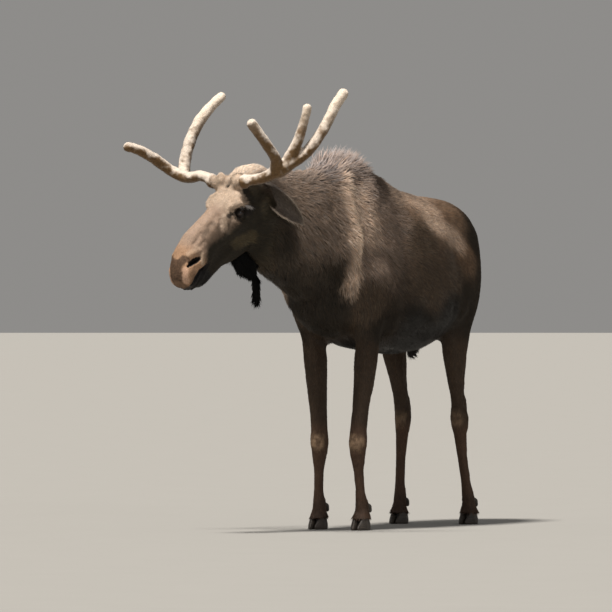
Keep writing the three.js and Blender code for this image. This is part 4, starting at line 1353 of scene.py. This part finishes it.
def mark_face(points, values):
    """Gives the head its marks, some of them painted light: shade on the side of the face, under the brow,
    round the eyes, in furrows, on the cheek and lower lip, and a green reflection on the jaw.
    """
    on_face = half_head(points)
    down, off, aside = on_face.T
    colour = values[:, COLOUR]
    speckle = noise(points, 0.006, 45)
    # painted shade: the side of the face below the lit bridge, made darker
    shaded = ramp(off + 0.012 * noise(points, 0.014, 42, 2), -0.022, -0.062)
    shaded = shaded * band(down, 0.28, 0.33, 0.47, 0.53)
    colour = mix(colour, COLOURS["pouch_and_painted_shade"], 0.8 * shaded)
    outer, inner = (np.interp(down, *np.array(limit).T) for limit in (FRONT_OUTER, FRONT_INNER))
    across = aside + 0.010 * noise(points, 0.018, 43, 3)
    front = ramp(across, outer + 0.007, outer - 0.007) * ramp(across, inner - 0.007, inner + 0.007)
    front = front * band(down, 0.600, 0.612, 0.708, 0.730) * (0.85 + 0.15 * speckle)
    colour = mix(colour, COLOURS["muzzle_front"], 0.95 * front)
    edge = np.interp(down, *FACE_EDGE.T) + 0.009 * noise(points, 0.022, 41, 2) + 0.006 * speckle
    dark = ramp(off, edge + 0.016, edge - 0.016) * ramp(down, -0.10, -0.02)
    # the dark cheek and lower lip, with painted shade
    colour = mix(colour, COLOURS["cheek"], dark * ramp(down, 0.0, 0.08))
    colour = mix(colour, COLOURS["lip"], dark * ramp(down, 0.54, 0.58))
    rough = noise(points, 0.012, 44)
    for start, end, reach, name, strength in FACE_MARKS:
        distance = from_line(on_face, start, end) + 0.3 * reach * rough
        colour = mix(colour, COLOURS[name], strength * ramp(distance, reach * 1.2, reach * 0.6))
    values[:, COLOUR] = mix(values[:, COLOUR], colour, head_share(points))


# Painted sunlight, where the coat is made paler as lit patches on the shoulder, the back and the hip: from
# one place along the body, and height, to another, how far they reach, and how strong they are.
PAINTED_BODY_LIGHT = (
    ((-0.19, 1.74), (-0.23, 1.50), 0.085, 0.65),
    ((-0.23, 1.50), (-0.26, 1.28), 0.070, 0.85),
    ((-0.08, 1.70), (-0.06, 1.54), 0.110, 0.40),
    ((0.30, 1.74), (0.72, 1.66), 0.070, 0.30),
    ((0.56, 1.60), (0.82, 1.50), 0.075, 0.50),
)

# Hair that stands up where the coats of the flank and thigh meet: places along the body, and heights.
FLANK_RIDGE = ((0.834, 1.453), (0.722, 1.285), (0.704, 1.139))


# Worn knees and hocks: the heights where they start, are full, end and are gone.
KNEE = (0.395, 0.435, 0.475, 0.510)
HOCK = (0.500, 0.540, 0.575, 0.610)
HOCK_WEAR = 0.4  # how strong the patch of a hock is beside a knee's


def mark_body(points, normals, values):
    """Worn knees and hocks, the ridge of hair on the flank, painted sunlight on the shoulder, back and hip,
    and uneven shades.
    """
    legs = leg_share(points)
    facing = ramp(-normals[:, 1] + 0.25 * noise(points, 0.025, 56, 2), 0.1, 0.9)
    fore = points[:, 1] < 0.45
    rough = points[:, 2] + 0.022 * noise(points, 0.03, 55, 3)
    patch = np.where(fore, band(rough, *KNEE), HOCK_WEAR * band(rough, *HOCK)) * facing
    blotches = ramp(noise(points, 0.020, 51, 2), -0.35, 0.25)
    values[:, COLOUR] = mix(values[:, COLOUR], COLOURS["knee"], (0.35 + 0.6 * blotches) * patch * legs)
    values[:, LENGTH] *= 1 - 0.4 * patch * legs
    ridge = np.min([from_line(points[:, 1:], *ends) for ends in zip(FLANK_RIDGE, FLANK_RIDGE[1:])], axis=0)
    ridge = swell(ridge, 0.020, 1.0) * ramp(np.abs(points[:, 0]), 0.15, 0.25)
    values[:, LENGTH] += 0.014 * ridge
    values[:, LIFT] += math.radians(18) * ridge
    uneven = noise(points, 0.06, 54, 2)
    # painted sunlight: the coat made paler where light falls on the shoulder, back and hip
    for start, end, reach, strength in PAINTED_BODY_LIGHT:
        distance = from_line(points[:, 1:], start, end) + 0.35 * reach * uneven
        near = ramp(distance, reach * 1.3, reach * 0.3) * (1 - head_share(points))
        values[:, COLOUR] = mix(values[:, COLOUR], COLOURS["painted_sunlight"], strength * near)
    tone = 1 + 0.10 * noise(points, 0.24, 52, 2) + 0.06 * noise(points, 0.06, 53, 2)
    values[:, COLOUR] *= tone[:, None]


def hair_values(count, lie, length, degrees, colour, tips):
    """The columns of combed values, each from one value for all hair or from one for each."""
    values = np.empty((count, 9))
    values[:, LIE] = lie
    values[:, LENGTH] = length
    values[:, LIFT] = np.radians(degrees)
    values[:, COLOUR] = colour
    values[:, TIPS] = tips
    return values


def comb_ears(place, lie):
    """Short fur on the back of the ear, longer and paler inside it, and a long pale fringe round its edge."""
    to_tip, edge, inner = place[:, 0], np.abs(place[:, 1]), place[:, 2]
    fringe = np.maximum(ramp(edge, 0.80, 0.97), ramp(to_tip, 0.90, 0.99))
    length = (0.014 + 0.006 * inner) * (1 - fringe) + 0.028 * fringe
    fringe = fringe * ramp(to_tip, 0.30, 0.60)
    colour = mix(mix(COLOURS["ear_back"], COLOURS["ear_inside"], inner), COLOURS["ear_rim"], fringe)
    return hair_values(len(place), lie, length, 12 + 14 * inner + 6 * fringe, colour, 1.25)


def comb_bell(points):
    """Long black hair that hangs, longest towards the end."""
    low, high = (corner[2] for corner in box_of("bell"))
    lower = (high - points[:, 2]) / (high - low)
    length = 0.042 + 0.016 * ramp(lower, 0.35, 0.8)
    degrees = 14 + 14 * ramp(lower, 0.7, 1)
    return hair_values(len(points), (0, 0.1, -1), length, degrees, COLOURS["bell"], 1.5)


def coat_values(points, normals, known):
    """The way, length, lift, colour and lighter tips of the hair at each point of the skin."""
    values = combed(points)
    mark_face(points, values)
    mark_body(points, normals, values)
    ears, bell = known["part"] == EAR, known["part"] == BELL
    values[ears] = comb_ears(known["place"][ears], known["lie"][ears])
    values[bell] = comb_bell(points[bell])
    return values


# ---- Coat: tufts -----------------------------------------------------------------------------------
LASHES = 80
BROW_EDGE = ((0.222, -0.080, 0.106), (0.190, -0.104, 0.116), (0.166, -0.122, 0.112))  # on the head

MOST_TRIANGLES = 196_000  # in one piece of the coat
PATCH = 0.003  # size of a tuft's patch on the unwrap
ROOT_SINK = 0.0015  # how deep a tuft's root lies in the skin
TAPER = {1: (1.0,), 2: (0.9, 0.75), 3: (0.8, 0.95, 0.6)}  # a tuft's widths, by its number of lengths


class Ground:
    """A surface that hair grows on, in the animal's frame."""

    def __init__(self, mesh):
        self.points = positions(mesh)
        self.normals = vertex_normals(mesh)
        self.triangles = triangles(mesh)
        loops = np.empty(len(mesh.loop_triangles) * 3, np.int32)
        mesh.loop_triangles.foreach_get("loops", loops)
        layer = mesh.uv_layers["OFBake"]
        spread_out = np.empty(len(mesh.loops) * 2, np.float32)
        layer.uv.foreach_get("vector", spread_out)
        self.corners = spread_out.reshape(-1, 2)[loops.reshape(-1, 3)]
        a, b, c = (self.points[self.triangles[:, i]] for i in range(3))
        self.areas = np.linalg.norm(np.cross(b - a, c - a), axis=1) / 2

    def scatter(self, density, rng):
        """Roots spread evenly by a density, in tufts to the square metre, at each vertex."""
        wanted = np.cumsum(self.areas * density[self.triangles].mean(1))
        count = int(wanted[-1])
        picks = (np.arange(count) + rng.random(count)) * (wanted[-1] / max(count, 1))
        chosen = np.minimum(np.searchsorted(wanted, picks), len(self.triangles) - 1)
        root, share = np.sqrt(rng.random(count)), rng.random(count)
        weights = np.stack([1 - root, root * (1 - share), root * share], axis=1)
        return chosen, weights

    def at(self, roots, values):
        chosen, weights = roots
        return (values[self.triangles[chosen]] * weights[:, :, None]).sum(1)

    def unwrapped(self, roots):
        chosen, weights = roots
        return (self.corners[chosen] * weights[:, :, None]).sum(1)


def unwrap(mesh):
    """Spreads a surface flat, as the map that colours are baked on."""
    obj = add_object("unwrapping", mesh)
    mesh.uv_layers.new(name="OFBake")
    bpy.ops.object.select_all(action="DESELECT")
    bpy.context.view_layer.objects.active = obj
    obj.select_set(True)
    bpy.ops.object.mode_set(mode="EDIT")
    bpy.ops.mesh.select_all(action="SELECT")
    bpy.ops.uv.smart_project(angle_limit=math.radians(66), island_margin=0.001)
    bpy.ops.object.mode_set(mode="OBJECT")
    bpy.data.objects.remove(obj)


def turned(lie, out, angle):
    """Directions turned within the skin's plane."""
    side = np.cross(out, lie)
    return lie * np.cos(angle)[:, None] + side * np.sin(angle)[:, None]


def spines(roots, lie, out, length, lift, bend, segments, droop=0.7):
    """The middle line of each tuft: it stands up at its root and lies down towards its tip."""
    step = (length / segments)[:, None]
    line = [roots]
    for k in range(segments):
        share = (k + 0.5) / segments
        way = turned(lie, out, bend * share)
        angle = (lift * (1 - droop * share))[:, None]
        line.append(line[-1] + step * (np.cos(angle) * way + np.sin(angle) * out))
    return np.stack(line, axis=1)


def gathered(line, clump, pull, rng):
    """Draws the tips of neighbouring tufts together, into locks of about so many."""
    count = len(line)
    centres = rng.permutation(count)[: max(1, int(count / clump))]
    closest = centres[nearest(line[centres, 0], line[:, 0])[0]]
    shift = (line[closest, -1] - line[:, -1]) * pull[:, None]
    share = np.linspace(0, 1, line.shape[1]) ** 1.4
    return line + shift[:, None] * share[None, :, None]


def tuft_faces(segments):
    """The triangles of one tuft: a three-sided spike, closed at its root. Each ring is left, right, top."""
    faces = [(0, 1, 2)]
    tip = 3 * segments
    for k in range(segments):
        for i, j in ((0, 1), (1, 2), (2, 0)):
            a, b = 3 * k + j, 3 * k + i
            if k == segments - 1:
                faces.append((a, b, tip))
            else:
                faces += [(a, b, b + 3), (a, b + 3, a + 3)]
    return np.array(faces)


def tuft_mesh(name, line, out, width, root_colour, tip_colour, flat):
    """Tufts round their middle lines, as one mesh."""
    count, segments = len(line), line.shape[1] - 1
    corners = 3 * segments + 1
    points = np.empty((count, corners, 3))
    colours = np.empty((count, corners, 3))
    shading = np.empty((count, corners, 3))
    map_place = np.empty((count, corners, 2))
    way = unit(line[:, 1] - line[:, 0])
    side = unit(np.cross(out, way))
    top = np.cross(way, side)
    for k in range(segments):
        share = k / segments
        half = (width * TAPER[segments][k] / 2)[:, None]
        sink = ROOT_SINK if k == 0 else 0.0
        ring = (side * half, -side * half, top * half * 0.9)
        for corner, (offset, lean) in enumerate(zip(ring, (0.75, -0.75, 0.0))):
            points[:, 3 * k + corner] = line[:, k] + offset - out * sink
            shading[:, 3 * k + corner] = unit(out + side * lean)
            colours[:, 3 * k + corner] = mix(root_colour, tip_colour, np.full(count, share))
            map_place[:, 3 * k + corner] = flat + PATCH / 2 * vec((1, -1, 0)[corner], 2 * share - 1)
    points[:, -1] = line[:, -1]
    shading[:, -1] = unit(out + 0.3 * way)
    colours[:, -1] = tip_colour
    map_place[:, -1] = flat + PATCH / 2 * vec(0, 1)
    faces = tuft_faces(segments)
    all_faces = (faces[None] + (np.arange(count) * corners)[:, None, None]).reshape(-1, 3)
    mesh = mesh_of(name, points.reshape(-1, 3), all_faces)
    paint(mesh, np.clip(colours.reshape(-1, 3), 0, 1))
    normals = mesh.attributes.new("custom_normal", "FLOAT_VECTOR", "POINT")
    normals.data.foreach_set("vector", shading.astype(np.float32).ravel())
    layer = mesh.uv_layers.new(name="OFBake")
    layer.uv.foreach_set("vector", map_place.reshape(-1, 2)[all_faces.ravel()].astype(np.float32).ravel())
    return mesh


def grow(
    name, ground, roots, values, width, segments, seed, slot, material,
    clump=9, pull=0.35, dark=0.5, jitter=0.16,
):
    """Tufts at the roots, in as many pieces as their triangles need. The values of the hair and the width of
    its tufts are given at each vertex of the ground."""
    rng = np.random.default_rng(seed)
    place = ground.at(roots, ground.points)
    out = unit(ground.at(roots, ground.normals))
    rows = ground.at(roots, values)
    count = len(place)
    lie = rows[:, LIE]
    lie = unit(lie - out * (lie * out).sum(1)[:, None])
    sway = 0.28 * noise(place, 0.11, seed + 1, 2) + 0.16 * noise(place, 0.03, seed + 2)
    lie = turned(lie, out, sway + jitter * rng.standard_normal(count))
    length = rows[:, LENGTH] * rng.uniform(0.72, 1.18, count) * (1 + 0.15 * noise(place, 0.05, seed + 3))
    lift = rows[:, LIFT] * rng.uniform(0.6, 1.4, count)
    line = spines(place, lie, out, length, lift, 0.25 * rng.standard_normal(count), segments)
    line = gathered(line, clump, pull * rng.uniform(0.5, 1.3, count), rng)
    shade = 0.20 * rng.standard_normal(count) + 0.22 * noise(place, 0.02, seed + 4)
    shade = np.exp(shade + 0.10 * noise(place, 0.2, 5))
    warm = 1 + 0.05 * rng.standard_normal(count)
    colour = rows[:, COLOUR] * np.stack([shade * warm, shade, shade / warm], axis=1)
    wide = ground.at(roots, width[:, None])[:, 0] * rng.uniform(0.7, 1.25, count)
    flat = ground.unwrapped(roots)
    each = 6 * segments - 2  # triangles of a tuft
    pieces = max(1, math.ceil(count / (MOST_TRIANGLES // each)))
    for number, part in enumerate(np.array_split(np.arange(count), pieces)):
        title = name if pieces == 1 else f"{name}_{number + 1}"
        # painted shade: each tuft is darker at its root by dark; it is paler at its tip by the guides'
        # factor, the hair's own pale tips made paler still as a painted sheen
        tones = colour[part] * dark, colour[part] * rows[part, TIPS][:, None]
        show(title, tuft_mesh(title, line[part], out[part], wide[part], *tones, flat[part]), material, slot)


def only(roots, chosen):
    return roots[0][chosen], roots[1][chosen]


# ---- Coat: on the body -----------------------------------------------------------------------------
BARE_LIDS = (0.0265, 0.0245)  # how far from the eye's centre the bare skin round it ends, and is full
UNDERCOAT = 0.62  # the skin's shade under the coat, beside the hair's
NARROWEST, WIDTH_BY_LENGTH, WIDTH_LIMITS = 0.0018, 0.085, (0.002, 0.0048)  # of tufts
EAR_WIDTH = 0.55  # how wide the ears' tufts are, beside the body's
LONG, STANDING = 0.052, 0.078  # hair longer than these has tufts of two lengths, and of three
NAP_DENSITY = 45_000.0  # tufts of velvet to the square metre


def bare_share(points, known):
    """1 where the skin is bare: in the nostrils, in the mouth and round the eyes."""
    bare = ramp(known["hollow"], 0.001, 0.004)
    for side, _ in SIDES:
        bare = np.maximum(bare, ramp(np.linalg.norm(points - EYES[side], axis=1), *BARE_LIDS))
    return bare


def skin_colour(points, values, known):
    """The colour of the skin under the coat, with the same marks, darker where it is bare, and near black
    deep in the nostrils and mouth as painted shade.
    """
    colour = mix(values[:, COLOUR] * UNDERCOAT, COLOURS["bare"], bare_share(points, known))
    # painted shade: near black by the depth of the nostrils and mouth
    return mix(colour, COLOURS["inside"], ramp(known["hollow"], 0.006, 0.014))


def plant_body(skin, values, known, material, black):
    """The coat of the whole skin, in groups of tufts of one kind."""
    ground = Ground(skin)
    points, part = ground.points, known["part"]
    head, legs = head_share(points) * (part == BODY), leg_share(points) * (part == BODY)
    length = values[:, LENGTH]
    width = np.clip(NARROWEST + WIDTH_BY_LENGTH * length, *WIDTH_LIMITS)
    width = width * np.where(part == EAR, EAR_WIDTH, 1)
    # how many times over the tufts cover the skin: least on the legs, most where they are long
    cover = mix(mix(2.3 + 1.6 * ramp(length, 0.034, 0.052), 1.15, legs), 1.8, head)
    cover = cover * (1 + 1.2 * ramp(length, 0.075, 0.095) + 1.5 * (part == BELL) - 0.6 * (part == EAR))
    density = cover / (0.5 * width * length) * (1 - bare_share(points, known))
    density = density * TUFT_SHARE
    rng = np.random.default_rng(7)
    roots = ground.scatter(density, rng)
    place = ground.at(roots, points)
    reach = ground.at(roots, length[:, None])[:, 0]
    kind = part[ground.triangles[roots[0], 0]]
    on_body = kind == BODY
    on_head_part = (head_share(place) > 0.5) & on_body
    on_legs = (leg_share(place) > 0.5) & on_body & ~on_head_part
    long = (reach > LONG) & on_body & ~on_head_part & ~on_legs
    standing = long & (reach > STANDING)
    # the last column darkens the roots of the tufts, as painted shade between the hairs
    groups = (
        ("coat_head", on_head_part, 1, "face_coat", 0.55),
        ("coat_legs", on_legs, 1, "leg_coat", 0.5),
        ("coat_mane", standing, 3, "coat", 0.3),
        ("coat_neck", long & ~standing, 2, "coat", 0.42),
        ("coat_trunk", on_body & ~(on_head_part | on_legs | long), 1, "coat", 0.5),
        ("coat_ears", kind == EAR, 1, "face_coat", 0.6),
        ("coat_bell", kind == BELL, 3, "black_coat", 0.6),
    )
    for seed, (name, chosen, segments, slot, dark) in enumerate(groups):
        chosen = only(roots, chosen)
        hair = black if slot == "black_coat" else material
        grow(name, ground, chosen, values, width, segments, 100 + 10 * seed, slot, hair, dark=dark)


def plant_lashes(skin, material):
    """Pale lashes and brow hairs over each eye, rooted in the skin nearest to the brow's edge."""
    ground = Ground(skin)
    middles = ground.points[ground.triangles].mean(1)
    rng = np.random.default_rng(17)
    how = {"clump": 2, "pull": 0.15, "dark": 0.8, "jitter": 0.18}
    for side, aside in SIDES:
        share = rng.random(LASHES)
        down, off, out = (np.interp(share, (0, 0.5, 1), row) for row in np.array(BROW_EDGE).T)
        wanted = on_head(down[:, None], off[:, None], aside * out[:, None])
        roots = (nearest(middles, wanted)[0], np.full((LASHES, 3), 1 / 3))
        lie = LEFT * aside * 0.5 - UP * 0.75 - ALONG * 0.25
        values = hair_values(len(ground.points), lie, 0.030, 45, COLOURS["lashes"], 1.15)
        width = np.full(len(ground.points), 0.0012)
        grow(f"lashes_{side}", ground, roots, values, width, 3, 170, "face_coat", material, **how)


def plant_velvet(name, mesh, colours, material):
    """The short nap of an antler's velvet."""
    ground = Ground(mesh)
    count = len(ground.points)
    lie = UP * 0.8 + ground.normals * 0.1 + HEADING * 0.2
    values = hair_values(count, lie, 0.0055, 42, colours, 1.15)
    density = np.full(count, NAP_DENSITY * TUFT_SHARE)
    roots = ground.scatter(density, np.random.default_rng(23))
    how = {"clump": 2, "pull": 0.1, "dark": 0.8, "jitter": 0.5}
    grow(name, ground, roots, values, np.full(count, 0.0017), 1, 190, "antler_velvet", material, **how)


# ---- Build -----------------------------------------------------------------------------------------
def main():
    bpy.context.scene.view_settings.view_transform = "Standard"
    make_camera()
    make_studio()

    skin, known = make_skin()
    points = positions(skin)
    values = coat_values(points, vertex_normals(skin), known)
    paint(skin, skin_colour(points, values, known))
    mark(skin, "bare", bare_share(points, known))
    mark(skin, "legs", leg_share(points) * (known["part"] == BODY))
    unwrap(skin)
    hair = coat_material("coat_hair", 0.15)
    plant_body(skin, values, known, hair, coat_material("black_hair", 0.06))
    plant_lashes(skin, hair)
    show("skin", skin, skin_material(), "coat", FLESH + ["ear_left", "ear_right", "bell"])

    eyes, rims, velvet = eye_material(), lid_material(), velvet_material()
    for side, _ in SIDES:
        make_eye(side, eyes)
        make_lids(side, rims)
        antler, colours, nodes = make_antler(side)
        unwrap(antler)
        plant_velvet(f"nap_{side}", antler, colours, hair)
        show(f"antler_{side}", antler, velvet, "antler_velvet", nodes)
    make_feet(hoof_material())


main()

boxes = {"cad": CAD_BOX, "visual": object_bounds()}
{name: [list(corner) for corner in box] for name, box in boxes.items()}
